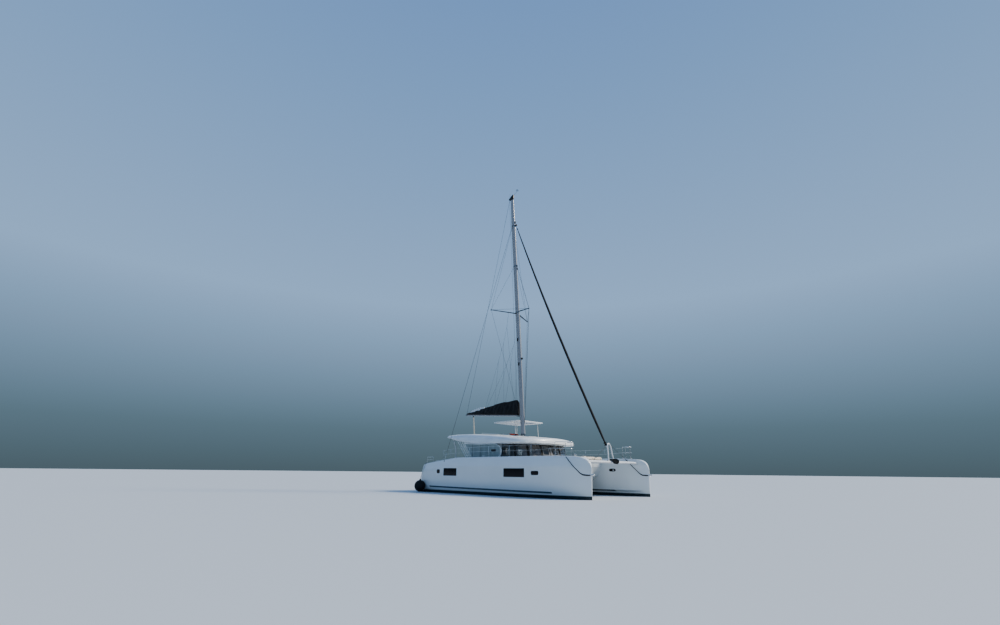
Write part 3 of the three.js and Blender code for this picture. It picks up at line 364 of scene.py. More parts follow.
def gelcoat_topsides():
    """Polyester gelcoat from a polished mould: a glossy near-white skin with faint long waves,
    turning green-grey over its lowest 0.6 m, partly a waterline stain and partly painted reflection
    of the water, with a grey stripe that falls a little to the bow. Low down it is matt dark
    antifouling paint, and decks that lie flat carry the satin non-skid."""
    made, tree, shader, place = new_finish("polished_gelcoat_topsides", Coat_Weight=0.35,
                                           Coat_Roughness=0.08)
    axes = add(tree, "SeparateXYZ", {"Vector": place})
    x, z = axes.outputs["X"], axes.outputs["Z"]
    drift = add(tree, "TexNoise", {"Vector": place, "Scale": 0.7, "Detail": 3.0})
    upright = add(tree, "Mapping", {"Vector": place, "Scale": (6.0, 6.0, 0.7)})
    runs = add(tree, "TexNoise", {"Vector": upright, "Scale": 1.0, "Detail": 5.0})
    wobble = add(tree, "Math", {0: runs, 1: 0.05}, operation="MULTIPLY")
    level = add(tree, "Math", {0: z, 1: wobble}, operation="SUBTRACT")
    # The skin greys to green-grey towards the water: partly a waterline stain, partly painted reflection of
    # the water.
    share = add(tree, "MapRange", {"Value": level, "From Min": 0.0, "From Max": 0.6})
    waterline_stain_and_reflection = add(tree, "ValToRGB", {"Fac": share},
                stops=[(0.0, "a9b3ae"), (0.2, "c3cac8"), (0.5, "dfe4e5"), (1.0, "e9edee")])
    cloud = add(tree, "Mix", {0: drift, 6: waterline_stain_and_reflection, 7: "dde3e4"}, data_type="RGBA")
    patches = add(tree, "TexNoise", {"Vector": place, "Scale": 9.0, "Detail": 8.0})
    paint = add(tree, "ValToRGB", {"Fac": patches}, PAINT_TONES)
    below = add(tree, "Math", {0: z, 1: PAINT_TOP_Z}, operation="LESS_THAN")
    middle = add(tree, "Math", {0: x, 1: STRIPE["slope"], 2: STRIPE["z"]}, operation="MULTIPLY_ADD")
    off = add(tree, "Math", {0: z, 1: middle}, operation="SUBTRACT")
    near = add(tree, "Math", {0: off, 1: 0.0, 2: STRIPE["half"]}, operation="COMPARE")
    length = add(tree, "Math", {0: x, 1: STRIPE["middle_x"], 2: STRIPE["reach"]}, operation="COMPARE")
    stripe = add(tree, "Math", {0: near, 1: length}, operation="MULTIPLY")
    striped = add(tree, "Mix", {0: stripe, 6: cloud, 7: "4a5c66"}, data_type="RGBA")
    whole = add(tree, "Mix", {0: below, 6: striped, 7: paint}, data_type="RGBA")
    flat, raised = non_skid(tree, place, 0.985, 0.995)
    dull = add(tree, "Math", {0: below, 1: flat}, operation="MAXIMUM")
    gloss = add(tree, "MapRange", {"Value": dull, "To Min": 0.24, "To Max": 0.75})
    fair = add(tree, "TexNoise", {"Vector": place, "Scale": 1.6, "Detail": 2.0})
    wave = add(tree, "Bump", {"Height": fair, "Distance": 0.02, "Strength": 0.35})
    grain = add(tree, "Bump", {"Height": raised, "Distance": 0.0012, "Strength": 0.6, "Normal": wave})
    feed(shader, {"Base Color": whole, "Roughness": gloss, "Normal": grain})
    return made


topsides = gelcoat_topsides()


def hull_rings(side, stations=150):
    """Sections of one hull. Each runs from the keel line round the bilge, up the flared topside,
    over the soft bevel to the deck edge, across the deck and down the inner wall with its step.
    The bilge is a superellipse of power 2.4; the topside is a smooth curve through four heights."""
    ends = np.linspace(0, 1, stations)
    x = HULL_AFT_X + HULL_LENGTH * (ends - 0.08 * np.sin(4 * np.pi * ends) / (2 * np.pi))
    deck, deck_y, side_y, inner_y, mid_y, half, draft = (hull_column(c, x)[:,
                                                                           None] for c in HULL_COLUMNS[1:])
    t = np.linspace(0, 1, 14)[None]
    w = np.sin(t * np.pi / 2)
    bilge = (1 - w ** 2.4) ** (1 / 2.4)
    out_y, out_z = mid_y + half * w, -draft * bilge
    in_y, in_z = mid_y - half * INNER_SHARE * w, -draft * bilge
    rows = []
    for i in range(stations):
        wide = topside_widths(mid_y[i, 0], half[i, 0], side_y[i, 0])
        rows.append(smooth(TOPSIDE_SHARES, wide, np.linspace(0.04, 0.75, 15)))
    rise_y = np.array(rows)
    rise_z = deck * np.linspace(0.04, 0.75, 15)[None]
    b = np.linspace(0.12, 0.94, 8)[None]
    bevel_y = side_y + (deck_y - side_y) * bevel_share(b)
    bevel_z = deck * (0.75 + 0.25 * b)
    edge = np.minimum(0.022, (deck_y - inner_y) * 0.2)
    corner = np.array([[0.0, -0.9], [-0.35, -0.3], [-1.0, 0.0]])
    edge_y = deck_y + edge * corner[None, :, 0]
    edge_z = deck + edge * corner[None, :, 1]
    across = np.linspace(0.04, 0.96, 8)[None]
    deck_row_y = deck_y - edge + (inner_y - deck_y + 2 * edge) * across
    deck_row_z = deck + 0 * across
    inner_edge_y = inner_y - edge * corner[None, ::-1, 0]
    inner_edge_z = deck + edge * corner[None, ::-1, 1]
    chine = np.minimum(0.33, deck * 0.6)
    step_y = (mid_y - half * INNER_SHARE) * 0.8 + inner_y * 0.2
    wall = np.linspace(0.1, 1, 6)[None]
    wall_z = deck + (chine - deck) * wall
    wall_y = inner_y + 0 * wall
    ring_y = np.hstack([out_y, rise_y, bevel_y, edge_y, deck_row_y, inner_edge_y, wall_y, step_y,
                        in_y[:, :0:-1]])
    ring_z = np.hstack([out_z, rise_z, bevel_z, edge_z, deck_row_z, inner_edge_z, wall_z, chine - 0.09,
                        in_z[:, :0:-1]])
    ring_x = x[:, None] + stem_rake(x)[:, None] * ring_z
    return np.stack([ring_x, ring_y * side, ring_z], -1)


def on_topside(x, z, side, out=0.0):
    """The point of the outer topside at a place and height, out proud of it."""
    deck, side_y, mid_y, half = (hull_column(c, x) for c in ("deck", "side_y", "mid_y", "half"))
    share = z / deck
    y = smooth(TOPSIDE_SHARES, [float(v) for v in topside_widths(mid_y, half, side_y)], min(share, 0.75))
    if share > 0.75:
        y = side_y + (hull_column("deck_y", x) - side_y) * bevel_share((share - 0.75) / 0.25)
    return (float(x), float(y + out) * side, float(z))


STEPS = [(-5.15, 1.25), (-5.48, 0.88), (-5.81, 0.51)]
STEP_WIDTH = (2.42, 3.40)
ENGINE_BAY = ((-4.70, -3.95), (2.58, 3.35), -0.10)
HULL_WINDOWS = [("aft", -3.63, -2.42, 0.99, 1.41), ("forward", 1.45, 2.87, 0.98, 1.41)]


def across_boat(y0, y1, side):
    return (y0, y1) if side > 0 else (-y1, -y0)


def topside_prism(x0, x1, z0, z1, inset, outset, side):
    """A flat prism that follows the topside between two places."""
    rings = []
    for x in (x0, x1):
        y = float(np.interp(x, HULL_SECTIONS[:, 0], HULL_SECTIONS[:, 3]))
        rings.append([(x, a * side, z) for a, z in
                      ((y + inset, z0), (y + outset, z0), (y + outset, z1), (y + inset, z1))])
    return skin(rings)


def bow_channel(side, reach):
    """The channel moulded round each bow, down from the deck, then level to the eye on the stem:
    its line's points on the outer (reach +1) or inner (-1) face."""
    line = [(5.16, 1.97), (5.36, 1.76), (5.57, 1.53), (5.76, 1.33), (5.88, 1.2), (6.0, 1.13), (6.18, 1.11),
            (6.31, 1.11)]
    points = []
    for x, z in line:
        foot = x - float(stem_rake(x)) * z
        if reach > 0:
            points.append(on_topside(foot, min(z, deck_height(foot) - 0.01), 1, 0.004))
        else:
            points.append((x, float(hull_column("inner_y", foot)) - 0.004, z))
    return [(x, y * side, z) for (x, _), (_, y, z) in zip(line, points)]


for name, side in SIDES.items():
    hull = piece(f"hull_{name}_moulding", [skin(hull_rings(side))], topsides,
                 stands_for=[f"hull_{name}"])
    cutters = []
    y0, y1 = across_boat(*STEP_WIDTH, side)
    stairs = [(-6.6, STEPS[2][1]), (-6.6, 2.1), (STEPS[0][0], 2.1)]
    for x, z in STEPS:
        stairs += [(x, z), (x - 0.33, z)]
    cutters.append(skin([[(x, y, z) for x, z in stairs[:-1]] for y in (y0, y1)]))
    (bay_x0, bay_x1), bay_y, bay_z = ENGINE_BAY
    cutters.append(block(bay_x0, bay_x1, *across_boat(*bay_y, side), bay_z, 2.1))
    for _, x0, x1, z0, z1 in HULL_WINDOWS:
        cutters.append(topside_prism(x0, x1, z0, z1, -0.02, 0.08, side))
    for reach in (1, -1):
        cutters.append(tube(bow_channel(side, reach), [0.02] * 4 + [0.024, 0.03, 0.026, 0.02], 8))
    cut(hull, cutters)


# Windows and ports in the hulls
# The big windows are dark acrylic panes bonded into rebates in the laminate, with a black
# sealant joint round them. Small ports sit in thin frames on the topside.
def mottled(name, noise, stops, grain=None, **sockets):
    """A finish whose tone drifts along the stops with a noise of (scale, detail). grain gives
    the scale, detail, depth in metres and strength of its surface bump."""
    made, tree, shader, place = new_finish(name, **sockets)
    drift = add(tree, "TexNoise", {"Vector": place, "Scale": noise[0], "Detail": noise[1]})
    feed(shader, {"Base Color": add(tree, "ValToRGB", {"Fac": drift}, stops)})
    if grain:
        fine = add(tree, "TexNoise", {"Vector": place, "Scale": grain[0], "Detail": grain[1]})
        feed(shader, {"Normal": add(tree, "Bump", {"Height": fine, "Distance": grain[2],
                                                   "Strength": grain[3]})})
    return made, tree, shader, place


def tinted_acrylic(name, tint="1c1a1e", dusty="232227", clear=0.0, specular=0.3):
    """Acrylic or glass: a smoky tint with a hard gloss, fine wipe marks and a little dust."""
    made, tree, shader, place = mottled(name, (22, 8), [(0.35, tint), (0.8, dusty)], IOR=1.49,
                                        Transmission_Weight=clear, Specular_IOR_Level=specular)
    wipe = add(tree, "TexWave", {"Vector": place, "Scale": 9.0, "Distortion": 14.0, "Detail": 3.0})
    feed(shader, {"Roughness": add(tree, "MapRange", {"Value": wipe.outputs["Fac"], "To Min": 0.04,
                                                      "To Max": 0.12})})
    return made


def rubber(name, colour="0b0c0d", grain=900.0):
    """Cured sealant or moulded rubber: near black, dull, with a fine pitted skin."""
    return mottled(name, (5, 4), [(0.4, colour), (0.9, "2a2c2e")], (grain, 4, 0.0005, 0.5), Roughness=0.7)[0]


def stainless_tube():
    """Polished 316 stainless: bright, with faint draw lines and light tea staining in random patches."""
    made, tree, shader, place = mottled("polished_stainless", (14, 5),
                                        [(0.3, "c8ccce"), (0.72, "d7dadb"), (0.9, "a99a86")], Metallic=1.0)
    lines = add(tree, "TexNoise", {"Vector": place, "Scale": 160.0, "Detail": 3.0})
    feed(shader, {"Roughness": add(tree, "MapRange", {"Value": lines, "To Min": 0.112, "To Max": 0.272})})
    return made


def wear(node, finish):
    """Gives a CAD node's object its finish in every material slot."""
    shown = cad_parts[node]
    if not shown.data.materials:
        shown.data.materials.append(finish)
    for i in range(len(shown.data.materials)):
        shown.data.materials[i] = finish


hull_glass = tinted_acrylic("smoked_acrylic_hull_windows")
# Black sealant for the windows' joints and frames. The same black also makes strips of painted shade in the
# wing covers' creases and in the bows' channels.
black_sealant_and_shade_strips = rubber("black_window_sealant_and_painted_shade_strips")
stainless = stainless_tube()
for name, side in SIDES.items():
    for place_name, x0, x1, z0, z1 in HULL_WINDOWS:
        wear(f"hull_window_{place_name}_{name}", hull_glass)


def power(wave, exponent):
    """sign(w) |w|^e, which turns a circle's sine and cosine into those of a superellipse."""
    return np.sign(wave) * np.abs(wave) ** exponent


def rounded_outline(x0, x1, y0, y1, corner, steps=8):
    """A rectangle in plan with quarter-circle corners, counter-clockwise."""
    turn = np.linspace(0, np.pi / 2, steps)
    points = []
    for cx, cy, k in ((x1 - corner, y1 - corner, 0), (x0 + corner, y1 - corner, 1),
                      (x0 + corner, y0 + corner, 2), (x1 - corner, y0 + corner, 3)):
        angle = turn + k * np.pi / 2
        points += list(zip(cx + corner * np.cos(angle), cy + corner * np.sin(angle)))
    return np.array(points)


def topside_panel(x0, x1, z0, z1, corner, out, thick, side):
    """A thin panel on the topside with rounded corners; its rings shrink to the middle so that
    the skin follows the hull's curve."""
    flat = rounded_outline(x0, x1, z0, z1, corner, 10)
    middle = np.array([(x0 + x1) / 2, (z0 + z1) / 2])
    rings = []
    for share, lift in ((0.02, -thick), (0.5, -thick), (1.0, -thick), (1.0, -0.2 * thick), (0.985, 0),
                        (0.5, 0), (0.02, 0)):
        ring = middle + (flat - middle) * share
        rings.append([on_topside(x, z, side, out + lift) for x, z in ring])
    return skin(rings)


SMALL_PORTS = [(-4.28, -4.02, 1.135, 1.325), (3.32, 3.73, 1.11, 1.27)]
ports, port_frames = [], []
for name, side in SIDES.items():
    for x0, x1, z0, z1 in SMALL_PORTS:
        port_frames.append(topside_panel(x0 - 0.018, x1 + 0.018, z0 - 0.018, z1 + 0.018, 0.07, 0.006, 0.012,
                                         side))
        ports.append(topside_panel(x0, x1, z0, z1, 0.055, 0.010, 0.012, side))
piece("hull_port_frames", port_frames, black_sealant_and_shade_strips)
piece("hull_port_panes", ports, hull_glass)
joints_round = []
for name, side in SIDES.items():
    for _, x0, x1, z0, z1 in HULL_WINDOWS:
        corners = [(x0, z0), (x1, z0), (x1, z1), (x0, z1)]
        path = []
        for (ax, az), (bx, bz) in zip(corners, corners[1:] + corners[:1]):
            path += [(ax + (bx - ax) * t, az + (bz - az) * t) for t in np.linspace(0, 1, 12, endpoint=False)]
        joints_round.append(tube([on_topside(x, z, side, -0.008) for x, z in path], 0.009, 6, closed=True))
piece("hull_window_joints", joints_round, black_sealant_and_shade_strips)


# Inner ports of the hulls
# One oval port looks across the net from each forward cabin.
inner_ports = []
for name, side in SIDES.items():
    y = (float(hull_column("inner_y", 4.33)) - 0.006) * side
    turn = full_turn(32)
    shape = np.stack([4.335 + 0.195 * power(np.cos(turn), 0.6), 1.39 + 0.08 * power(np.sin(turn), 0.6)], -1)
    slope = float(hull_column("inner_y", 4.53) - hull_column("inner_y", 4.14)) / 0.39
    rings = []
    for share, lift in ((0.02, -0.01), (1.0, -0.01), (1.0, 0.004), (0.96, 0.009), (0.02, 0.009)):
        rings.append([(4.335 + (x - 4.335) * share, y + (slope * (x - 4.335) - lift) * side,
                       1.39 + (z - 1.39) * share) for x, z in shape])
    inner_ports.append(skin(rings))
piece("hull_inner_ports", inner_ports, hull_glass)


# Keels, rudders and drives
# Stub keels and spade rudders of laminate under the same paint; cast legs with bronze propellers.
def cast_metal(name, light, dark, metallic, rough):
    """Cast and painted or bare metal: blotchy tone and sand-cast grain. blotchy tone, sand-cast grain and
    darker crevices.
    """
    return mottled(name, (11, 7), [(0.3, dark), (0.7, light)], (140, 5, 0.001, 0.45), Metallic=metallic,
                   Roughness=rough)[0]


def foil_skin(rows, y, points=24):
    """A wing shape standing down from the hull. Half thickness over the chord share c is
    half * (1.6 sqrt(c) - 0.7 c - 0.9 c^2), scaled to 1 at its thickest."""
    c = (1 - np.cos(np.linspace(0, np.pi, points))) / 2
    thick = 1.6 * np.sqrt(c) - 0.7 * c - 0.9 * c * c
    thick /= thick.max()
    rings = []
    for z, x_aft, x_nose, half in rows:
        x = x_nose - (x_nose - x_aft) * c
        ring = [(a, y + half * w, z) for a, w in zip(x, thick)]
        ring += [(a, y - half * w, z) for a, w in zip(x[-2:0:-1], thick[-2:0:-1])]
        rings.append(ring)
    return skin(rings)


# Ablative antifouling: matt slate blue, rolled on, with slime and rubbed patches.
antifouling = mottled("matt_antifouling_paint", (7, 9), PAINT_TONES, (320, 3, 0.0008, 0.5),
                      Roughness=0.88)[0]
leg_paint = cast_metal("grey_epoxy_on_cast_aluminium", "5a6064", "3c4144", 0.3, 0.5)
bronze = cast_metal("cast_nickel_bronze", "a07c44", "5d4524", 0.9, 0.35)
HULL_CENTRE_Y = 2.85
for name, side in SIDES.items():
    y = HULL_CENTRE_Y * side
    z = np.linspace(0, 1, 9)
    keel_rows = [(-0.50 - 0.75 * t, -1.33 + 0.18 * t ** 1.5, 1.33 - 0.38 * t, 0.145 - 0.045 * t) for t in z]
    piece(f"keel_{name}_foil", [foil_skin(keel_rows, y)], antifouling,
          stands_for=[f"keel_{name}"])
    rudder_rows = [(-0.40 - 0.75 * t, -5.80 + 0.07 * t, -5.32 - 0.06 * t * t, 0.038 - 0.016 * t) for t in z]
    piece(f"rudder_{name}_blade", [foil_skin(rudder_rows, y),
                                   tube([(-5.55, y, -0.42), (-5.55, y, -0.1203)], 0.03, 20)], antifouling,
          f"rudder_{name}", stands_for=[f"rudder_{name}"])
    wear(f"saildrive_{name}", leg_paint)
    blades = [lathe([(0.032, -0.25), (0.045, -0.235), (0.054, -0.2), (0.056, -0.1203)], (-4.78, y, -0.86),
                    (1, 0, 0), 32)]
    for k in range(3):
        turn = k * 2 * math.pi / 3
        rows = []
        for t in np.linspace(0, 1, 12):
            reach = 0.045 + 0.162 * t
            chord = 0.052 * math.sqrt(max(1 - (t * 0.98) ** 4,
                                          0.02)) * (0.75 + 0.5 * math.sin(math.pi * (0.2 + 0.6 * t)))
            twist = math.radians(62 - 34 * t)
            ring = []
            for a in full_turn(20):
                across, over = chord * math.cos(a), (0.008 - 0.005 * t) * math.sin(a)
                px = across * math.sin(twist) * 0.9 + over * math.cos(twist)
                tangential = across * math.cos(twist) - over * math.sin(twist)
                py = tangential * math.cos(turn) - reach * math.sin(turn)
                pz = tangential * math.sin(turn) + reach * math.cos(turn)
                ring.append((-4.96 + px, y + py, -0.86 + pz))
            rows.append(ring)
        blades.append(skin(rows))
    piece(f"propeller_{name}_blades", blades, bronze, f"propeller_{name}",
          stands_for=[f"propeller_{name}"])


# Engines and their hatches
# A painted iron block stands in each bay; the lid over it is a gelcoat moulding with a raised
# rim and a flush stainless pull.
def gelcoat_moulding(name, tint="e4e8e9", shade="d3d9db"):
    """Gelcoat on decks and roofs: a satin white skin, greyed by weather, with non-skid on its flats."""
    made, tree, shader, place = new_finish(name, Coat_Weight=0.2, Coat_Roughness=0.15)
    drift = add(tree, "TexNoise", {"Vector": place, "Scale": 1.3, "Detail": 5.0})
    tone = add(tree, "ValToRGB", {"Fac": drift}, stops=[(0.35, shade), (0.65, tint)])
    flat, raised = non_skid(tree, place, 0.97, 0.985)
    feed(shader, {"Base Color": add(tree, "Mix", {0: flat, 6: tone, 7: "d9dad6"}, data_type="RGBA"),
                  "Roughness": add(tree, "MapRange", {"Value": flat, "To Min": 0.3, "To Max": 0.65}),
                  "Normal": add(tree, "Bump", {"Height": raised, "Distance": 0.0012, "Strength": 0.6})})
    return made


def slab_part(outline, layers):
    """A plate from one plan outline: each layer is (inset, height); its rings shrink by inset."""
    middle = outline.mean(0)
    span = (outline.max(0) - outline.min(0)) / 2
    rings = []
    for inset, z in layers:
        scale = np.maximum(1 - inset / span, 0.02)
        flat = middle + (outline - middle) * scale
        rings.append(np.column_stack([flat, np.full(len(flat), z)]))
    return skin(rings)


def soft_plate(x0, x1, y0, y1, z0, z1, corner=0.05, edge=0.008, steps=8):
    """A rounded plate with softened upper and lower edges."""
    return slab_part(rounded_outline(x0, x1, y0, y1, corner, steps),
                     [(min(x1 - x0, y1 - y0) * 0.49, z0), (edge, z0), (0, z0 + edge), (0, z1 - edge),
                      (edge * 0.3, z1 - edge * 0.3), (edge, z1), (min(x1 - x0, y1 - y0) * 0.49, z1)])


moulding = gelcoat_moulding("satin_gelcoat_deck")
AFT_DECK_X, AFT_DECK_Z, AFT_DECK_SLOPE = -4.8, 1.800, (1.925 - 1.800) / 1.2
engine_paint = cast_metal("grey_enamel_on_cast_iron", "6f767a", "464b4e", 0.5, 0.5)
for name, side in SIDES.items():
    wear(f"engine_{name}", engine_paint)
    lid_y = across_boat(2.51, 3.41, side)
    flat = rounded_outline(-4.78, -3.87, *lid_y, 0.06)
    middle = flat.mean(0)
    rings = []
    for share, up in ((0.03, 0.0006), (1.0, 0.0006), (1.0, 0.032), (0.985, 0.042), (0.97, 0.045),
                      (0.90, 0.045), (0.885, 0.038), (0.03, 0.038)):
        ring = middle + (flat - middle) * share
        rings.append(np.column_stack([ring, AFT_DECK_Z + AFT_DECK_SLOPE * (ring[:, 0] - AFT_DECK_X) + up]))
    piece(f"engine_hatch_{name}_lid", [skin(rings)], moulding, f"engine_hatch_{name}",
          stands_for=[f"engine_hatch_{name}"])
    pull_z = AFT_DECK_Z + AFT_DECK_SLOPE * (-4.66 - AFT_DECK_X) + 0.038
    y_mid = sum(lid_y) / 2
    piece(f"engine_hatch_{name}_pull", [soft_plate(-4.70, -4.62, y_mid - 0.045, y_mid + 0.045, pull_z,
                                                   pull_z + 0.009, 0.02, 0.003)], stainless,
          f"engine_hatch_{name}")


# Bridgedeck, cockpit and saloon floor
# A sandwich moulding spans the hulls. Its sole carries teak-pattern strips in the cockpit.
def oiled_teak(plank=0.05):
    """Teak strips 50 mm wide with black seams; grain runs fore and aft, silvered a little."""
    made, tree, shader, place = new_finish("oiled_teak_planks", Roughness=0.55)
    stretch = add(tree, "Mapping", {"Vector": place, "Scale": (1.5, 22.0, 22.0)})
    grain = add(tree, "TexNoise", {"Vector": stretch, "Scale": 4.0, "Detail": 8.0, "Distortion": 0.6})
    tone = add(tree, "ValToRGB", {"Fac": grain}, stops=[(0.25, "6f4c2e"), (0.5, "94714a"), (0.8, "b39468")])
    axes = add(tree, "SeparateXYZ", {"Vector": place})
    share = add(tree, "Math", {0: axes.outputs["Y"], 1: plank}, operation="DIVIDE")
    part = add(tree, "Math", {0: share}, operation="FRACT")
    off = add(tree, "Math", {0: part, 1: 0.5, 2: 0.46}, operation="COMPARE")
    feed(shader, {"Base Color": add(tree, "Mix", {0: off, 6: "15120f", 7: tone}, data_type="RGBA"),
                  "Normal": add(tree, "Bump", {"Height": grain, "Distance": 0.001, "Strength": 0.4})})
    return made


def woven(name, thread, gap, pitch, rough=0.85, sheen=0.3, folds=0.0):
    """Plain-woven cloth: two sets of threads, pitch metres apart, with faded and creased patches."""
    made, tree, shader, place = mottled(name, (2.5, 6), [(0.3, gap), (0.7, thread)], Roughness=rough,
                                        Sheen_Weight=sheen, Sheen_Roughness=0.5)
    warp, weft = (add(tree, "TexWave", {"Vector": place, "Scale": 1 / pitch / 6.283, "Distortion": 0.3},
                      bands_direction=way).outputs["Fac"] for way in ("DIAGONAL", "Z"))
    weave = add(tree, "Math", {0: warp, 1: weft}, operation="MULTIPLY")
    fine = add(tree, "Bump", {"Height": weave, "Distance": pitch * 0.35, "Strength": 0.6})
    crease = add(tree, "TexNoise", {"Vector": place, "Scale": 6.0, "Detail": 4.0, "Distortion": 1.2})
    feed(shader, {"Normal": add(tree, "Bump", {"Height": crease, "Distance": 0.02, "Strength": folds,
                                               "Normal": fine})})
    return made


def stacked(x, y, z):
    """Arrays and single values of x, y and z as rows of points."""
    return np.stack(np.broadcast_arrays(x, y, z), -1)


CUSHION_POWER, CUSHION_PULL = 0.28, 0.03


def cushion(x0, x1, y0, y1, z0, z1):
    """A filled cushion: x = cx + a|cos u|^e|cos v|^e' and so on, a superellipsoid that is nearly
    a box, whose sides pull in between its corners and whose bottom is flat where it rests."""
    cx, cy = (x0 + x1) / 2, (y0 + y1) / 2
    a, b = (x1 - x0) / 2, (y1 - y0) / 2
    u = full_turn(40)[None]
    v = np.linspace(-np.pi / 2 + 0.03, np.pi / 2 - 0.03, 18)[:, None]
    flat = power(np.cos(v), 0.3)
    px, py = power(np.cos(u), CUSHION_POWER), power(np.sin(u), CUSHION_POWER)
    x = cx + a * px * flat * (1 - CUSHION_PULL * (1 - py ** 2) * np.cos(v))
    y = cy + b * py * flat * (1 - CUSHION_PULL * (1 - px ** 2) * np.cos(v))
    crown = 1 - 0.35 * np.maximum((x - cx) / a, (cx - x) / a) ** 4 - 0.35 * np.abs((y - cy) / b) ** 4
    rise = np.where(v > 0, power(np.sin(v), 0.55) * np.clip(crown, 0.4, 1), power(np.sin(v), 0.3))
    z = (z0 + z1) / 2 + (z1 - z0) / 2 * rise
    return skin(np.stack([x, y, z], -1))


def seam(x0, x1, y0, y1, z, radius=0.006):
    """The piping round a cushion's edge, laid along its pulled-in outline."""
    u = full_turn(72)
    px, py = power(np.cos(u), CUSHION_POWER), power(np.sin(u), CUSHION_POWER)
    a, b = (x1 - x0) / 2, (y1 - y0) / 2
    x = (x0 + x1) / 2 + a * px * (1 - CUSHION_PULL * (1 - py ** 2))
    y = (y0 + y1) / 2 + b * py * (1 - CUSHION_PULL * (1 - px ** 2))
    return tube(stacked(x, y, z), radius, 6, closed=True)


teak = oiled_teak()
seat_cloth = woven("grey_marine_canvas_upholstery", "8f8e88", "77766f", 0.0016, folds=0.25)
wear("bridgedeck", moulding)
FLOOR_Z = 0.96
piece("cockpit_sole_planks", [soft_plate(-4.60, -2.40, -1.46, -0.02, FLOOR_Z + 0.0005, FLOOR_Z + 0.008, 0.05,
                                         0.002)], teak)
piece("saloon_sole_boards", [soft_plate(-2.2, 0.95, -0.46, 1.4, FLOOR_Z + 0.0005, FLOOR_Z + 0.006, 0.02,
                                        0.002)], teak)
wear("cockpit_bench", moulding)
wear("cockpit_lounge", moulding)
wear("cockpit_table", teak)
wear("saloon_table", teak)
wear("galley_unit", teak)
SEAT_TOP = FLOOR_Z + 0.44
pads = []
for k in range(3):
    y0 = -1.63 + 1.09 * k
    pads.append(("cockpit_bench_cushion_%d" % (k + 1), (-5.09, -4.66, y0, y0 + 1.07, SEAT_TOP + 0.001,
                                                        SEAT_TOP + 0.11)))
for k in range(2):
    x0 = -4.38 + 0.84 * k
    pads.append(("cockpit_lounge_cushion_%d" % (k + 1), (x0, x0 + 0.82, -2.12, -1.52, SEAT_TOP + 0.001,
                                                         SEAT_TOP + 0.11)))
for label, (x0, x1, y0, y1, z0, z1) in pads:
    pad = piece(label, [cushion(x0, x1, y0, y1, z0, z1), seam(x0, x1, y0, y1, z0 + 0.06)], seat_cloth)


# Saloon walls and glazing
# The walls are laminate: a straight side, then a rounded front that leans in. Bonded curved
# glass wraps them under black edge bands and slim mullions; pale blinds show behind it.
HOUSE = {"side_x": -0.1, "front_x": 1.75, "half_y": 2.5, "lean_x": 0.25, "lean_y": 0.08, "bend": 0.72}
WALL_THICK = 0.06
DECK_Z, CEILING_Z = 2.02, 2.80
WINDOW_Z = (2.085, 2.735)


def house_points(q, inset, z):
    """The wall's plan line at height z. q runs -1..0 along the port side, 0..1 round the port
    front to the centreline, then back along starboard to 3. The front is a superellipse:
    x = side_x + reach sin(t)^0.72, y = half cos(t)^0.72 with t = q pi/2."""
    q = np.atleast_1d(np.asarray(q, float))
    mirror = q > 1
    p = np.where(mirror, 2 - q, q)
    lift = (z - DECK_Z) / (CEILING_Z - DECK_Z)
    reach = HOUSE["front_x"] - HOUSE["side_x"] - HOUSE["lean_x"] * lift - inset
    half = HOUSE["half_y"] - HOUSE["lean_y"] * lift - inset
    t = np.clip(p, 0, 1) * np.pi / 2
    x = np.where(p < 0, HOUSE["side_x"] + p * 2.2, HOUSE["side_x"] + reach * np.sin(t) ** HOUSE["bend"])
    y = np.where(p < 0, half, half * np.cos(np.minimum(t, np.pi / 2 - 1e-9)) ** HOUSE["bend"])
    return stacked(x, np.where(mirror, -y, y), z)


def wall_part(q0, q1, z0, z1, out, inn, count=40):
    """A strip of wall between two places on its plan line, out and inn metres inside that line."""
    q = np.linspace(q0, q1, max(count, 3))
    corners = [house_points(q, out, z0), house_points(q, inn, z0), house_points(q, inn, z1),
               house_points(q, out, z1)]
    return skin(np.stack(corners, 1))


glass_spans = [(0.13 / 7, 1.87 / 7), (2.15 / 7, 3.85 / 7), (4.15 / 7, 5.85 / 7), (6.1 / 7, 6.9 / 7)]
glass_spans += [(2 - b, 2 - a) for a, b in glass_spans[::-1]]
edges = [-1.0] + [q for span in glass_spans for q in span] + [3.0]
walls = [wall_part(-1, 3, 2.0203, WINDOW_Z[0], 0, WALL_THICK, 160),
         wall_part(-1, 3, WINDOW_Z[1], 2.7997, 0, WALL_THICK, 160)]
for q0, q1 in zip(edges[::2], edges[1::2]):
    walls.append(wall_part(q0, q1, WINDOW_Z[0], WINDOW_Z[1], 0, WALL_THICK, 24))
piece("saloon_wall_shell", walls, moulding, stands_for=["saloon_walls"])
cabin_glass = tinted_acrylic("tinted_toughened_glass", "c6c8cb", "b4b6b8", clear=1.0, specular=0.5)
band = wall_part(0.002, 1.998, 2.05, 2.77, -0.0103, -0.0003, 200)
piece("saloon_glass_band", [band], cabin_glass, stands_for=["saloon_glazing"])
bands = [wall_part(0.002, 1.998, 2.052, 2.078, -0.0112, -0.0102, 200),
         wall_part(0.002, 1.998, 2.742, 2.768, -0.0112, -0.0102, 200)]
for (_, q0), (q1, _) in zip(glass_spans, glass_spans[1:]):
    bands.append(wall_part(q0, q1, 2.06, 2.76, -0.0112, -0.0102, 12))
piece("saloon_glass_edge_bands", bands, black_sealant_and_shade_strips)


def pale_plastic(name, tint, light):
    """Moulded plastic, powder coat or pleated polyester: satin and pale with a soft mottling."""
    return mottled(name, (18, 5), [(0.0, tint), (1.0, light)], (500, 2, 0.0004, 0.4), Roughness=0.6)[0]


blind_finish = pale_plastic("pale_pleated_blind_cloth", "d2c9c2", "dfd8d2")
frame_finish = pale_plastic("white_powder_coated_frame", "c9cdce", "d6d9da")


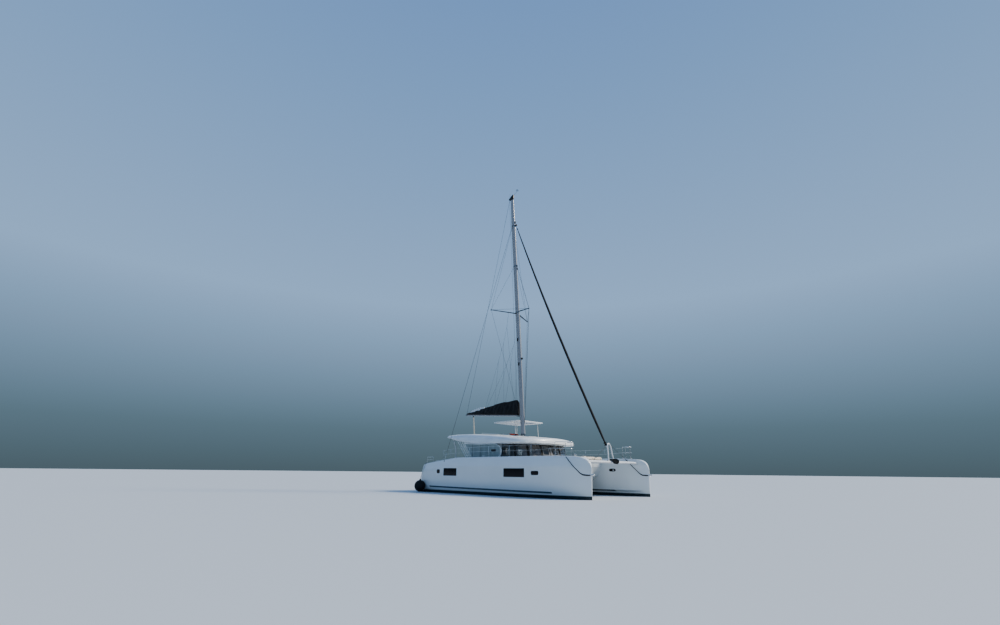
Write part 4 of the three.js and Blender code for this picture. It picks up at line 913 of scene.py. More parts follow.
def pleated_blind(q0, q1, z0, z1, pleats):
    """A stiff pleated blind just inside the glass; its inset swings 12 mm with each pleat."""
    q = np.linspace(q0, q1, pleats * 4 + 1)
    swing = 0.075 + 0.012 * np.abs(((np.arange(len(q)) / 4) % 1) * 2 - 1)
    rings = []
    for k, one in enumerate(q):
        rings.append([house_points(one, swing[k], z0)[0], house_points(one, swing[k] + 0.004, z0)[0],
                      house_points(one, swing[k] + 0.004, z1)[0], house_points(one, swing[k], z1)[0]])
    return skin(rings)


blinds = [pleated_blind(q0, q1, 2.09, 2.73, pleats)
          for q0, q1, pleats in ((0.06, 0.44, 16), (0.46, 0.885, 18), (1.14, 1.375, 11), (1.395, 1.545, 8))]
piece("saloon_window_blinds", blinds, blind_finish)
mullions = [wall_part(q - 0.004, q + 0.004, 2.06, 2.76, -0.017, -0.0112, 3) for q in (0.613, 1.387)]
grey_frame = pale_plastic("grey_powder_coated_frame", "6a6d71", "7d8083")
piece("saloon_glass_mullions", mullions, grey_frame)
vents = []
for q0, q1 in ((0.90, 1.008), (1.016, 1.125)):
    for a, b, z0, z1 in ((q0, q1, 2.16, 2.20), (q0, q1, 2.62, 2.66), (q0, q0 + 0.012, 2.16, 2.66),
                         (q1 - 0.012, q1, 2.16, 2.66)):
        vents.append(wall_part(a, b, z0, z1, -0.022, -0.0112, 8))
piece("saloon_opening_window_frames", vents, grey_frame, bevel=0.002)

# Bulkhead and sliding door
# The glass door slides to port in a low sill; its frame is powder-coated aluminium.
wear("saloon_bulkhead", moulding)
wear("saloon_door", cabin_glass)
(dx0, dy0, dz0), (_, dy1, dz1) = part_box("saloon_door")
stiles = [block(dx0 - 0.004, dx0, dy0, dy0 + 0.055, dz0, dz1),
          block(dx0 - 0.004, dx0, dy1 - 0.055, dy1, dz0, dz1),
          block(dx0 - 0.004, dx0, dy0, dy1, dz0, dz0 + 0.07),
          block(dx0 - 0.004, dx0, dy0, dy1, dz1 - 0.055, dz1)]
piece("saloon_door_frame", stiles, frame_finish, "saloon_door", bevel=0.001)
handle = tube([(dx0 - 0.004, dy0 + 0.028, 1.85), (dx0 - 0.030, dy0 + 0.028, 1.85),
               (dx0 - 0.036, dy0 + 0.028, 1.87), (dx0 - 0.036, dy0 + 0.028, 2.09),
               (dx0 - 0.030, dy0 + 0.028, 2.11), (dx0 - 0.004, dy0 + 0.028, 2.11)], 0.008, 10)
piece("saloon_door_handle", [handle], stainless, "saloon_door")

# Saloon furniture
# Oiled wood carcasses with grey cushions, as far as they show through the glass.
wear("mast_support_post", cast_metal("coated_aluminium_post", "d9dcdd", "c6cacc", 0.3, 0.4))
piece("saloon_sofa_base", [soft_plate(0.0, 1.6, -2.1, -1.5, FLOOR_Z + 0.0003, 1.30, 0.03, 0.01),
                           soft_plate(1.0, 1.6, -1.5, -0.3, FLOOR_Z + 0.0003, 1.30, 0.03, 0.01)], teak,
      stands_for=["saloon_sofa"])
for label, (x0, x1, y0, y1) in (("side", (0.01, 0.99, -2.09, -1.51)), ("corner", (1.01, 1.59, -2.09, -1.51)),
                                ("front", (1.01, 1.59, -1.49, -0.31))):
    pad = piece(f"saloon_sofa_cushion_{label}", [cushion(x0, x1, y0, y1, 1.301, 1.42),
                                                 seam(x0, x1, y0, y1, 1.365)], seat_cloth)
piece("galley_worktop", [soft_plate(-1.91, -0.09, 1.44, 2.11, 1.8705, 1.90, 0.03, 0.004)], frame_finish)
piece("galley_tap", [tube([(-1.2, 1.98, 1.90), (-1.2, 1.98, 2.12), (-1.2, 1.95, 2.17), (-1.2, 1.87, 2.17),
                           (-1.2, 1.84, 2.13)], 0.011, 10)], stainless)


# Coachroof
# One big sandwich moulding shelters saloon and cockpit. Its steep side turns to a crowned top;
# the helm stands in a well on its port side.
ROOF_COLUMNS = ("x", "half", "lean", "low", "edge", "crown")
ROOF_SECTIONS = np.array([
    (-5.42, 1.50, 0.15, 3.330, 3.350, 3.400),
    (-5.32, 2.20, 0.15, 3.320, 3.390, 3.450),
    (-5.06, 2.45, 0.17, 3.310, 3.430, 3.500),
    (-4.69, 2.74, 0.20, 3.285, 3.455, 3.530),
    (-3.97, 2.75, 0.22, 3.110, 3.475, 3.545),
    (-3.00, 2.76, 0.23, 2.955, 3.455, 3.540),
    (-2.52, 2.76, 0.23, 2.880, 3.435, 3.510),
    (-1.61, 2.76, 0.22, 2.800, 3.375, 3.445),
    (-0.60, 2.75, 0.20, 2.800, 3.285, 3.375),
    (0.20, 2.755, 0.18, 2.800, 3.200, 3.320),
    (0.70, 2.74, 0.16, 2.800, 3.130, 3.270),
    (1.20, 2.61, 0.14, 2.800, 3.080, 3.220),
    (1.60, 2.32, 0.12, 2.800, 3.045, 3.180),
    (1.85, 1.95, 0.11, 2.800, 3.020, 3.150),
    (2.00, 1.54, 0.10, 2.800, 3.000, 3.120),
    (2.08, 1.12, 0.09, 2.800, 2.970, 3.080),
    (2.12, 0.64, 0.08, 2.810, 2.930, 3.020),
])
ROOF_SKIN = 0.11


def roof_column(name, x):
    return smooth(ROOF_SECTIONS[:, 0], ROOF_SECTIONS[:, ROOF_COLUMNS.index(name)], x)


def roof_top(x, y):
    """Height of the roof's crowned top: crown - (crown - edge) |y / reach|^2.4."""
    edge, crown = roof_column("edge", x), roof_column("crown", x)
    reach = roof_column("half", x) - roof_column("lean", x)
    return edge + (crown - edge) * (1 - np.minimum(np.abs(y / reach), 1.0) ** 2.4)


def roof_ring(x):
    """One cross-section: the flat underside, a rounded lower lip, a fascia that bulges 18 mm and
    a rounded shoulder into the crowned top."""
    half, lean, low, edge, crown = (float(roof_column(c, x)) for c in ROOF_COLUMNS[1:])
    lip = low + (edge - low) * 0.18
    reach = half - lean
    under = [(-(half - 0.09) + 2 * (half - 0.09) * t, low) for t in np.linspace(0, 1, 12)]
    up = np.linspace(0, 1, 12)
    turn = [(half - 0.09 + 0.09 * math.sin(a), lip + (low - lip) * math.cos(a)) for a in np.linspace(0.3,
                                                                                                     1.35,
                                                                                                     5)]
    side_y = half - lean * (0.55 * up + 0.45 * up ** 3) + 0.018 * np.sin(np.pi * up)
    side_z = lip + (edge - lip) * (1 - (1 - up) ** 1.15) - 0.012 * up ** 6
    side = [(min(y, half), z) for y, z in zip(side_y, side_z)]
    top = [(y, roof_top(x, y)) for y in np.linspace(reach * 0.975, -reach * 0.975, 35)]
    right_part = turn + side
    ring = under + right_part + top + [(-y, z) for y, z in right_part[::-1]]
    return [(x, y, z) for y, z in ring]


def under_roof(xs, half_at):
    """What is hollow under the roof's skin, between two places along it."""
    rings = []
    for x, half in zip(xs, half_at):
        ys = np.linspace(half, -half, 21)
        rings.append([(x, -half, 2.6), (x, half, 2.6)] + [(x, y, roof_top(x, y) - ROOF_SKIN) for y in ys])
    return skin(rings)


def inside_half(x):
    """Half width inside the saloon walls at ceiling height."""
    reach = HOUSE["front_x"] - HOUSE["side_x"] - HOUSE["lean_x"] - 0.064
    half = HOUSE["half_y"] - HOUSE["lean_y"] - 0.064
    share = np.clip((x - HOUSE["side_x"]) / reach, 0, 0.999) ** (1 / HOUSE["bend"])
    return half * (1 - share ** 2) ** (HOUSE["bend"] / 2)


roof_x = np.concatenate([np.linspace(-5.42, -4.6, 26), np.linspace(-4.55, 1.0, 60),
                         np.linspace(1.04, 2.12, 34)])
roof_gelcoat = gelcoat_moulding("glossy_gelcoat_roof", "e9edee", "dfe4e6")
roof = piece("coachroof_moulding", [skin([roof_ring(x) for x in roof_x])], roof_gelcoat,
             stands_for=["coachroof"])
saloon_x = np.linspace(-2.18, 1.42, 40)
cockpit_x = np.linspace(-4.9, -2.42, 20)
HELM_WELL = (-3.65, -2.35, 0.45, 2.15)
cut(roof, [under_roof(saloon_x, inside_half(saloon_x)), under_roof(cockpit_x, np.full(20, 2.2))])
cut(roof, [slab_part(rounded_outline(*HELM_WELL, 0.10), [(0, 2.0), (0, 4.0)])])


def on_roof_panel(x0, x1, y0, y1, corner, thick, sink=0.004):
    """A thin panel that follows the roof's top."""
    flat = rounded_outline(x0, x1, y0, y1, corner)
    middle = flat.mean(0)
    rings = []
    for share, lift in ((0.03, -sink), (0.5, -sink), (1.0, -sink), (1.0, thick * 0.7), (0.985, thick),
                        (0.5, thick), (0.03, thick)):
        ring = middle + (flat - middle) * share
        rings.append(np.column_stack([ring, roof_top(ring[:, 0], ring[:, 1]) + lift]))
    return skin(rings)


skylights, skylight_frames = [], []
for x0, x1, y0, y1 in ((0.55, 1.10, -1.35, -0.75), (0.55, 1.10, 0.75, 1.35), (-2.0, -1.45, -1.5, -0.9)):
    skylight_frames.append(on_roof_panel(x0 - 0.03, x1 + 0.03, y0 - 0.03, y1 + 0.03, 0.07, 0.014))
    skylights.append(on_roof_panel(x0, x1, y0, y1, 0.05, 0.022))
piece("roof_skylight_frames", skylight_frames, frame_finish)
piece("roof_skylight_panes", skylights, cabin_glass)
grip_rails = []
for side in (-1, 1):
    for x0, x1 in ((-1.9, -0.2), (0.0, 1.1)) if side < 0 else ((-1.9, -0.2),):
        xs = np.linspace(x0, x1, 20)
        ys = (roof_column("half", xs) - roof_column("lean", xs) - 0.16) * side
        tops = roof_top(xs, ys)
        path = [(xs[0], ys[0], tops[0])] + [(x, y, z + 0.075) for x, y, z in zip(xs, ys, tops)][1:-1]
        path += [(xs[-1], ys[-1], tops[-1])]
        grip_rails.append(tube(path, 0.012, 10))
        mid = len(xs) // 2
        grip_rails.append(tube([(xs[mid], ys[mid], tops[mid]), (xs[mid], ys[mid], tops[mid] + 0.075)], 0.01,
                               8))
piece("roof_grip_rails", grip_rails, stainless)


# Cabin side wings and roof pillars
# Flat mouldings outside the saloon's side run up to the roof; the slanted slats let air into the
# cockpit. A grey-green cover is fitted over the front panel, with faint folds whose shade is painted.
def fitted_cover():
    """Vinyl-coated cover stretched flat: matt grey-green, with soft upright folds and a weave. Its colour
    follows the folds' noise, darker in their troughs: painted shade in the folds.
    """
    made, tree, shader, place = new_finish("grey_green_fitted_cover", Roughness=0.75)
    upright = add(tree, "Mapping", {"Vector": place, "Scale": (5.0, 1.0, 0.5)})
    folds = add(tree, "TexNoise", {"Vector": upright, "Scale": 1.6, "Detail": 3.0})
    cloth = add(tree, "TexNoise", {"Vector": place, "Scale": 600.0, "Detail": 2.0})
    fine = add(tree, "Bump", {"Height": cloth, "Distance": 0.0005, "Strength": 0.4})
    # The base colour follows the folds' noise: painted shade in the folds.
    feed(shader, {"Base Color": add(tree, "ValToRGB", {"Fac": folds},
                                    stops=[(0.35, "828f8f"), (0.65, "97a2a1")]),
                  "Normal": add(tree, "Bump", {"Height": folds, "Distance": 0.02, "Strength": 0.5,
                                               "Normal": fine})})
    return made


cover_finish = fitted_cover()
WING = {"y": (2.532, 2.66), "nose_x": 0.05, "aft_top_x": -3.11, "slant": 0.66, "low": 2.0203, "high": 2.7997}
SLAT_TOPS, SLAT_WIDTH = (-3.685, -3.505, -3.315), 0.045


def roof_low(x):
    return float(roof_column("low", x)) - 0.004


def wing_aft(z):
    """The slanted aft edge of the wing at a height."""
    share = (z - WING["low"]) / (WING["high"] - WING["low"])
    return WING["aft_top_x"] + WING["slant"] * (1 - share)


def side_slab(profile, y0, y1):
    """A side view (x, z) pushed across the boat."""
    return skin([[(x, y, z) for x, z in profile] for y in (y0, y1)])


def slant_bar(shift, width, z0):
    """A slanted bar from the deck up to the roof's rising underside."""
    x_top = wing_aft(2.9) + shift
    z_top = roof_low(x_top)
    x_top = wing_aft(z_top) + shift
    x_low = wing_aft(z0) + shift
    return [(x_low, z0), (x_low + width, z0), (x_top + width, roof_low(x_top + width)), (x_top, z_top)]


for name, side in SIDES.items():
    y0, y1 = across_boat(*WING["y"], side)
    mid, tall = (WING["low"] + WING["high"]) / 2, (WING["high"] - WING["low"]) / 2
    turn = np.linspace(-np.pi / 2, np.pi / 2, 28)
    nose = [(WING["nose_x"] - (0.30 if t < 0 else 0.62) * (1 - math.cos(t)),
             mid + tall * math.sin(t)) for t in turn]
    xs = np.linspace(-1.6, -3.0, 12)
    top = [(x, roof_low(x)) for x in xs]
    z_aft = roof_low(-3.2)
    profile = [(wing_aft(WING["low"]), WING["low"])] + nose + top + [(wing_aft(z_aft), z_aft)]
    parts = [side_slab(profile, y0, y1)]
    for top_x in SLAT_TOPS:
        shift = top_x - WING["aft_top_x"]
        parts.append(side_slab(slant_bar(shift, SLAT_WIDTH, WING["low"]), y0 + 0.049, y1 - 0.049))
    for z in (WING["low"] + 0.15, WING["high"] - 0.06):
        x = wing_aft(z)
        parts.append(block(x + SLAT_TOPS[0] - WING["aft_top_x"] + 0.02, x + 0.12, y0 + 0.054, y1 - 0.054,
                           z - 0.015, z + 0.015))
    piece(f"cabin_wing_{name}_moulding", parts, moulding, stands_for=[f"cabin_wing_{name}"],
          bevel=0.008)
    outer = WING["y"][1]
    inset = [(x * 0.99 - 0.018, mid + (z - mid) * 0.94) for x, z in nose]
    cover = [(wing_aft(2.1) + 0.07, 2.06)] + inset + [(-1.6, 2.77), (wing_aft(2.86) + 0.08, 2.86)]
    piece(f"cabin_wing_{name}_cover", [side_slab(cover, *across_boat(outer, outer + 0.004, side))],
          cover_finish, bevel=0.0015)
    # Thin black strips along three creases of each cover: painted shade in its folds.
    folds = []
    for x, z0, z1 in ((-2.36, 2.09, 2.84), (-1.68, 2.08, 2.78), (-0.62, 2.09, 2.20)):
        crease_shade_strip = [(x, z0), (x + 0.02, z0), (x + 0.008, (z0 + z1) / 2), (x + 0.012, z1), (x, z1),
                (x - 0.008, (z0 + z1) / 2)]
        folds.append(side_slab(crease_shade_strip, *across_boat(outer + 0.004, outer + 0.008, side)))
    piece(f"cabin_wing_{name}_cover_crease_shade_strips", folds, black_sealant_and_shade_strips)
    vent = rounded_outline(-0.72, -0.34, 2.35, 2.48, 0.03)
    piece(f"cabin_wing_{name}_vent", [side_slab(vent.tolist(), *across_boat(outer + 0.004, outer + 0.008,
                                                                            side))], black_sealant_and_shade_strips)
    pillar = [(-4.27, 1.86), (-4.275, 2.3), (-4.29, 2.6), (-4.36, 2.84), (-4.47, 3.04), (-4.56, 3.22)]
    xs = np.linspace(0, 1, 22)
    px = smooth(np.linspace(0, 1, 6), [p[0] for p in pillar], xs)
    pz = np.interp(xs, np.linspace(0, 1, 6), [p[1] for p in pillar])
    foot = deck_height(-4.27)
    path = [(x, 2.39 * side, max(z, foot)) for x, z in zip(px, pz)]
    piece(f"roof_pillar_{name}_tube", [tube(path, 0.032, 20),
                                       lathe([(0.055, 0.0004), (0.055, 0.008), (0.036, 0.012)],
                                             (-4.27, 2.39 * side, foot))], frame_finish,
          stands_for=[f"roof_pillar_{name}"])


# Helm
# A raised moulded platform on the port side, reached by steps with teak treads: a console with
# instruments, a stainless wheel and a cushioned bench seat.
wear("helm_platform", moulding)
treads = [soft_plate(-3.49, -2.96, y + 0.01, y + 0.24, z + 0.0003, z + 0.008, 0.02, 0.002)
          for y, z in ((0.26, 1.98), (0.0, 1.64), (-0.25, 1.30))]
piece("helm_step_treads", treads + [soft_plate(-3.14, -2.72, 0.55, 2.05, 2.3203, 2.328, 0.03, 0.002)], teak)
wear("helm_console", roof_gelcoat)
slope_from, slope_to = np.array([-2.648, 3.462]), np.array([-2.512, 3.592])
along = (slope_to - slope_from) / np.linalg.norm(slope_to - slope_from)
normal = np.array([-along[1], along[0]])
dark_plastic = rubber("black_moulded_instrument_plastic", "101214", 400.0)
screens, bezels = [], []
for y0, y1 in ((0.76, 0.88), (0.91, 1.29), (1.32, 1.44)):
    for store, grow, rise in ((bezels, 0.006, 0.008), (screens, 0.0, 0.010)):
        a = slope_from + along * (0.03 - grow) + normal * 0.001
        b = slope_from + along * (0.155 + grow) + normal * 0.001
        quad = [a, b, b + normal * rise, a + normal * rise]
        store.append(skin([[(p[0], y, p[1]) for p in quad] for y in (y0 - grow, y1 + grow)]))
piece("helm_instrument_bezels", bezels, dark_plastic, bevel=0.0015)
piece("helm_instrument_screens", screens, hull_glass)
levers = []
for y in (0.80, 0.86):
    levers.append(tube([(-2.66, y, 3.30), (-2.72, y, 3.33), (-2.74, y, 3.42)], 0.008, 8))
    levers.append(lathe([(0.001, 0), (0.014, 0.006), (0.018, 0.018), (0.014, 0.03), (0.001, 0.036)],
                        (-2.74, y, 3.405)))
piece("helm_engine_levers", levers, stainless)
WHEEL = {"x": -2.76, "y": 1.1, "z": 3.2, "radius": 0.35}
turn = full_turn(72)
rim_path = stacked(WHEEL["x"], WHEEL["y"] + WHEEL["radius"] * np.cos(turn),
                   WHEEL["z"] + WHEEL["radius"] * np.sin(turn))
wheel_parts = [lathe([(0.045, -0.028), (0.055, -0.02), (0.055, 0.03), (0.046, 0.0397)],
                     (WHEEL["x"], WHEEL["y"], WHEEL["z"]), (1, 0, 0), 32)]
for k in range(5):
    a = 2 * math.pi * (k + 0.25) / 5
    end = (WHEEL["x"], WHEEL["y"] + 0.345 * math.cos(a), WHEEL["z"] + 0.345 * math.sin(a))
    knee = (WHEEL["x"] + 0.012, WHEEL["y"] + 0.18 * math.cos(a), WHEEL["z"] + 0.18 * math.sin(a))
    wheel_parts.append(tube([(WHEEL["x"] + 0.01, WHEEL["y"], WHEEL["z"]), knee, end], 0.008, 10))
piece("helm_wheel_rim_and_spokes", wheel_parts + [tube(rim_path, 0.0145, 14, closed=True)], stainless,
      "helm_wheel", stands_for=["helm_wheel"])
seat_base = [soft_plate(-3.56, -3.16, 0.70, 1.90, 2.3203, 2.80, 0.05, 0.012),
             side_slab([(-3.56, 2.79), (-3.47, 2.79), (-3.49, 3.30), (-3.53, 3.32), (-3.56, 3.30)], 0.72,
                       1.88)]
piece("helm_seat_base", seat_base, moulding, stands_for=["helm_seat"], bevel=0.006)
for k in range(2):
    y0 = 0.72 + 0.59 * k
    seat_pad = piece(f"helm_seat_cushion_{k + 1}", [cushion(-3.455, -3.165, y0, y0 + 0.57, 2.801, 2.89),
                                                   seam(-3.455, -3.165, y0, y0 + 0.57, 2.85)], seat_cloth)
back = []
for k in range(2):
    y0 = 0.72 + 0.59 * k
    points, faces = cushion(-0.19, 0.19, y0, y0 + 0.57, -0.03, 0.03)
    lean = 0.03
    upright = stacked(-3.452 + points[:, 2] - points[:, 0] * lean, points[:, 1], 3.09 + points[:, 0])
    back.append((upright, faces))
back_pad = piece("helm_seat_back_pads", back, seat_cloth)

# Hard top over the helm
# A thin white laminate top on three posts, with a dark glazed hatch in it.
HARDTOP = (-3.5, -0.95, 0.05, 2.6)
hardtop_outline = rounded_outline(*HARDTOP, 0.33, 12)
hardtop = piece("helm_hardtop_moulding", [slab_part(hardtop_outline,
                                                    [(1.2, 4.372), (0.3, 4.366), (0.09, 4.360),
                                                     (0.03, 4.366), (0.0, 4.385), (0.004, 4.402),
                                                     (0.025, 4.420), (0.12, 4.438), (0.26, 4.450),
                                                     (1.2, 4.455)])], roof_gelcoat,
                stands_for=["helm_hardtop"])
cut(hardtop, [slab_part(rounded_outline(-2.3, -1.25, 0.55, 2.15, 0.06), [(0, 4.2), (0, 4.6)])])
piece("helm_hardtop_hatch_pane", [soft_plate(-2.295, -1.255, 0.555, 2.145, 4.40, 4.412, 0.055, 0.003)],
      cabin_glass)
posts = []
for x, y, lean in ((-1.45, 0.15, 0.10), (-1.45, 2.40, 0.10), (-3.32, 2.38, -0.06)):
    foot_z = 3.2
    t_on = np.linspace(0, 1, 60)
    line_x, line_z = x + lean * (1 - t_on), foot_z + (4.37 - foot_z) * t_on
    above = np.argmax(line_z > roof_top(line_x, np.full(60, y)))
    sunk = (line_x[above], y, roof_top(line_x[above], y) + 0.0004)
    bend = np.array([x, y, 4.37])
    posts.append(tube([sunk, np.array(sunk) * 0.5 + bend * 0.5, bend], 0.022, 16))
    posts.append(lathe([(0.05, 0.0), (0.05, 0.006), (0.03, 0.012)], sunk))
piece("helm_hardtop_posts", posts, frame_finish)


# Mast, spreaders and diamond wires
# A painted alloy extrusion stands on a plate on the roof. Swept spreaders and a forward strut
# hold diamond wires that keep it straight; the sail runs in a grey track on its aft side.
def painted_spar(name, dark, light):
    """Two-pack paint on alloy: cool and glossy, with long faint runs of weathering upward."""
    made, tree, shader, place = new_finish(name, Coat_Weight=0.4, Coat_Roughness=0.15)
    tall = add(tree, "Mapping", {"Vector": place, "Scale": (6.0, 6.0, 0.35)})
    runs = add(tree, "TexNoise", {"Vector": tall, "Scale": 4.0, "Detail": 6.0})
    peel = add(tree, "TexNoise", {"Vector": place, "Scale": 160.0, "Detail": 2.0})
    feed(shader, {"Base Color": add(tree, "ValToRGB", {"Fac": runs}, stops=[(0.3, dark), (0.6, light)]),
                  "Roughness": add(tree, "MapRange", {"Value": runs, "To Min": 0.25, "To Max": 0.42}),
                  "Normal": add(tree, "Bump", {"Height": peel, "Distance": 0.0004, "Strength": 0.3})})
    return made


# The mast and boom wear a mid grey, darker than the beam's white paint: partly the spars' own light grey,
# partly painted shade.
shade_darkened_spar_paint = painted_spar("grey_spar_paint_with_painted_shade", "8c8f95", "9c9fa4")
beam_paint = painted_spar("white_painted_beam_alloy", "cfd4d7", "dfe3e5")
anodised = cast_metal("grey_anodised_aluminium", "8d9295", "7b8083", 0.9, 0.35)
dark_alloy = cast_metal("black_anodised_fitting", "202326", "15171a", 0.15, 0.45)
MAST_HALF = (0.172, 0.098)
MAST_FOOT_Z, MAST_TOP_Z, HOUNDS_Z = 3.388, 21.12, 18.65
MAST_BASE_X, MAST_BASE_Z = -0.59, 3.43
MAST_LEAN, MAST_RISE = 0.99, 17.69


def mast_x(z):
    """The raked centre line, which goes MAST_LEAN aft in MAST_RISE of height."""
    return MAST_BASE_X - MAST_LEAN * (np.asarray(z, float) - MAST_BASE_Z) / MAST_RISE


def mast_ring(z, sides=56):
    """Its section: x = a cos t, less 0.05 cos^2 t of it on the blunter aft side, and
    y = b |sin t|^0.92. It tapers by a fifth above the hounds."""
    t = full_turn(sides)
    share = 1 - 0.2 * max(0.0, (z - HOUNDS_Z) / (MAST_TOP_Z - HOUNDS_Z))
    x = MAST_HALF[0] * share * np.cos(t) * (1 - 0.05 * (np.cos(t) < 0) * np.cos(t) ** 2)
    y = MAST_HALF[1] * share * power(np.sin(t), 0.92)
    return stacked(mast_x(z) + x, y, z)


def mast_face(z, y=0.0, out=0.0):
    """A point on the mast's forward face."""
    return (mast_x(z) + MAST_HALF[0] + out, y, z)


mast_levels = [MAST_FOOT_Z, 5.0, 8.0, 11.0, 14.0, 17.0, HOUNDS_Z, 19.5, 20.4, MAST_TOP_Z]
collars = []
for z, grow in ((3.46, 0.008), (11.72, 0.006), (HOUNDS_Z, 0.006), (15.3, 0.005)):
    rings = []
    for dz, out in ((-0.06, 0.0), (-0.055, grow), (0.055, grow), (0.06, 0.0)):
        ring = mast_ring(z + dz)
        middle = np.array([mast_x(z + dz), 0, z + dz])
        away = ring - middle
        rings.append(middle + away * (1 + out / np.linalg.norm(away, axis=1)[:, None]))
    collars.append(skin(rings))
piece("mast_extrusion", [skin([mast_ring(z) for z in mast_levels])], shade_darkened_spar_paint,
      stands_for=["mast"], angle=30)
piece("mast_collars", collars, anodised)
track = [(mast_x(z) - 0.166 * (1 - 0.2 * max(0.0, (z - HOUNDS_Z) / 2.47)), z) for z in (5.0, 12.0, HOUNDS_Z,
                                                                                        20.9)]
track += [(x - 0.012, z) for x, z in track[::-1]]
piece("mast_sail_track", [side_slab(track, -0.016, 0.016)], anodised)
steps_plate = [lathe([(0.245, -0.03), (0.25, 0.012), (0.235, 0.020), (0.19, 0.022)], (-0.59, 0, 3.376))]
for k in range(6):
    a = math.pi * (k + 0.5) / 3
    steps_plate.append(lathe([(0.012, 0), (0.012, 0.008), (0.006, 0.011)],
                             (-0.59 + 0.215 * math.cos(a), 0.215 * math.sin(a), 3.397), sides=12))
piece("mast_step_plate", steps_plate, anodised)

lug_turn = full_turn(40)
GOOSENECK = (-0.9, 0.0, 4.675)
lug_outer = np.column_stack([np.clip(0.05 * np.cos(lug_turn), -0.034, 1),
                             0.029 * power(np.sin(lug_turn), 0.5)])
lug_outer[:, 0] = np.where(lug_outer[:, 0] > 0.02, 0.10, lug_outer[:, 0])
lug_inner = 0.0126 * np.column_stack([np.cos(lug_turn), np.sin(lug_turn)])
loops = [(lug_inner, -0.025), (lug_outer, -0.025), (lug_outer, 0.025), (lug_inner, 0.025)]
lug_rings = [stacked(GOOSENECK[0] + loop[:, 0], loop[:, 1], GOOSENECK[2] + z) for loop, z in loops]
lug = (np.concatenate(lug_rings), grid_faces(4, 40, True, True))
piece("mast_gooseneck_lug", [lug], anodised)


def blade_bar(root, tip, chords, thicks, sides=20):
    """A tapered streamlined bar: ellipses from root to tip, long way fore and aft."""
    root, tip = np.array(root, float), np.array(tip, float)
    t = full_turn(sides)
    rings = []
    for share in (0, 0.5, 0.96, 1.0):
        chord = (chords[0] + (chords[1] - chords[0]) * share) * (1 if share < 1 else 0.8) / 2
        thick = (thicks[0] + (thicks[1] - thicks[0]) * share) * (1 if share < 1 else 0.8) / 2
        centre = root + (tip - root) * share
        rings.append(stacked(centre[0] + chord * np.cos(t), centre[1], centre[2] + thick * np.sin(t)))
    return skin(rings)


SPREADER_Z, SPREADER_REACH, SPREADER_SWEEP = 11.65, 1.84, 0.73
spreader_x = mast_x(SPREADER_Z)
tips = {side: (spreader_x - SPREADER_SWEEP, SPREADER_REACH * side, SPREADER_Z) for side in (-1, 1)}
strut_root = (mast_x(11.8) + 0.15, 0, 11.8)
strut_tip = (mast_x(11.8) + 1.07, 0, 11.8)
spreaders = [blade_bar((spreader_x - 0.03, 0.07 * side, SPREADER_Z), tips[side], (0.15, 0.09), (0.055, 0.04))
             for side in (-1, 1)]
spreaders.append(tube([strut_root, strut_tip], [0.038, 0.026], 18))
piece("mast_spreaders", spreaders, dark_alloy)
tip_caps = [lathe([(0.001, -0.05), (0.035, -0.03), (0.042, 0), (0.035, 0.03), (0.001, 0.05)],
                  tips[side]) for side in (-1, 1)]
tip_caps.append(lathe([(0.001, -0.04), (0.03, -0.025), (0.034, 0), (0.03, 0.025), (0.001, 0.04)], strut_tip))
piece("mast_spreader_boots", tip_caps, dark_plastic)
wire = cast_metal("weathered_stainless_wire_rope", "4b4f53", "34373a", 0.35, 0.5)
diamonds = [tube([tips[side], strut_tip], 0.007, 8) for side in (-1, 1)]
diamonds += [tube([(mast_x(HOUNDS_Z), 0.08 * side, HOUNDS_Z), tips[side]], 0.006, 8) for side in (-1, 1)]
UPPER_Z, LOWER_Z = 15.3, 4.1
for side in (-1, 1):
    diamonds.append(tube([(mast_x(UPPER_Z), 0.09 * side, UPPER_Z), tips[side],
                          (mast_x(LOWER_Z), 0.09 * side, LOWER_Z)], 0.0065, 8))
    diamonds.append(tube([mast_face(UPPER_Z, 0.02 * side, -0.01), (strut_tip[0], 0.02 * side, strut_tip[2]),
                          mast_face(LOWER_Z, 0.02 * side, -0.01)], 0.0065, 8))
piece("mast_diamond_wires", diamonds, wire)
tangs = []
for z, out in ((UPPER_Z, 0.04), (UPPER_Z - 0.24, 0.04), (18.90, 0.09), (18.62, 0.19)):
    x = mast_face(z)[0]
    tangs.append(block(x - 0.01, x + out, -0.03, 0.03, z - 0.07, z + 0.07))
for z, side in ((9.75, -1), (8.05, -1), (8.05, 1)):
    x = mast_x(z)
    tangs.append(block(x - 0.05, x + 0.05, *across_boat(0.08, 0.125, side), z - 0.10, z + 0.10))
piece("mast_front_tangs", tangs, dark_alloy, bevel=0.006)
LAMP_Z = 8.42
lamp_x = mast_face(LAMP_Z)[0]
piece("mast_deck_light", [lathe([(0.03, 0), (0.06, 0.02), (0.065, 0.09), (0.04, 0.11)],
                                (lamp_x - 0.004, 0, LAMP_Z), (1, 0, -0.3))], dark_plastic)

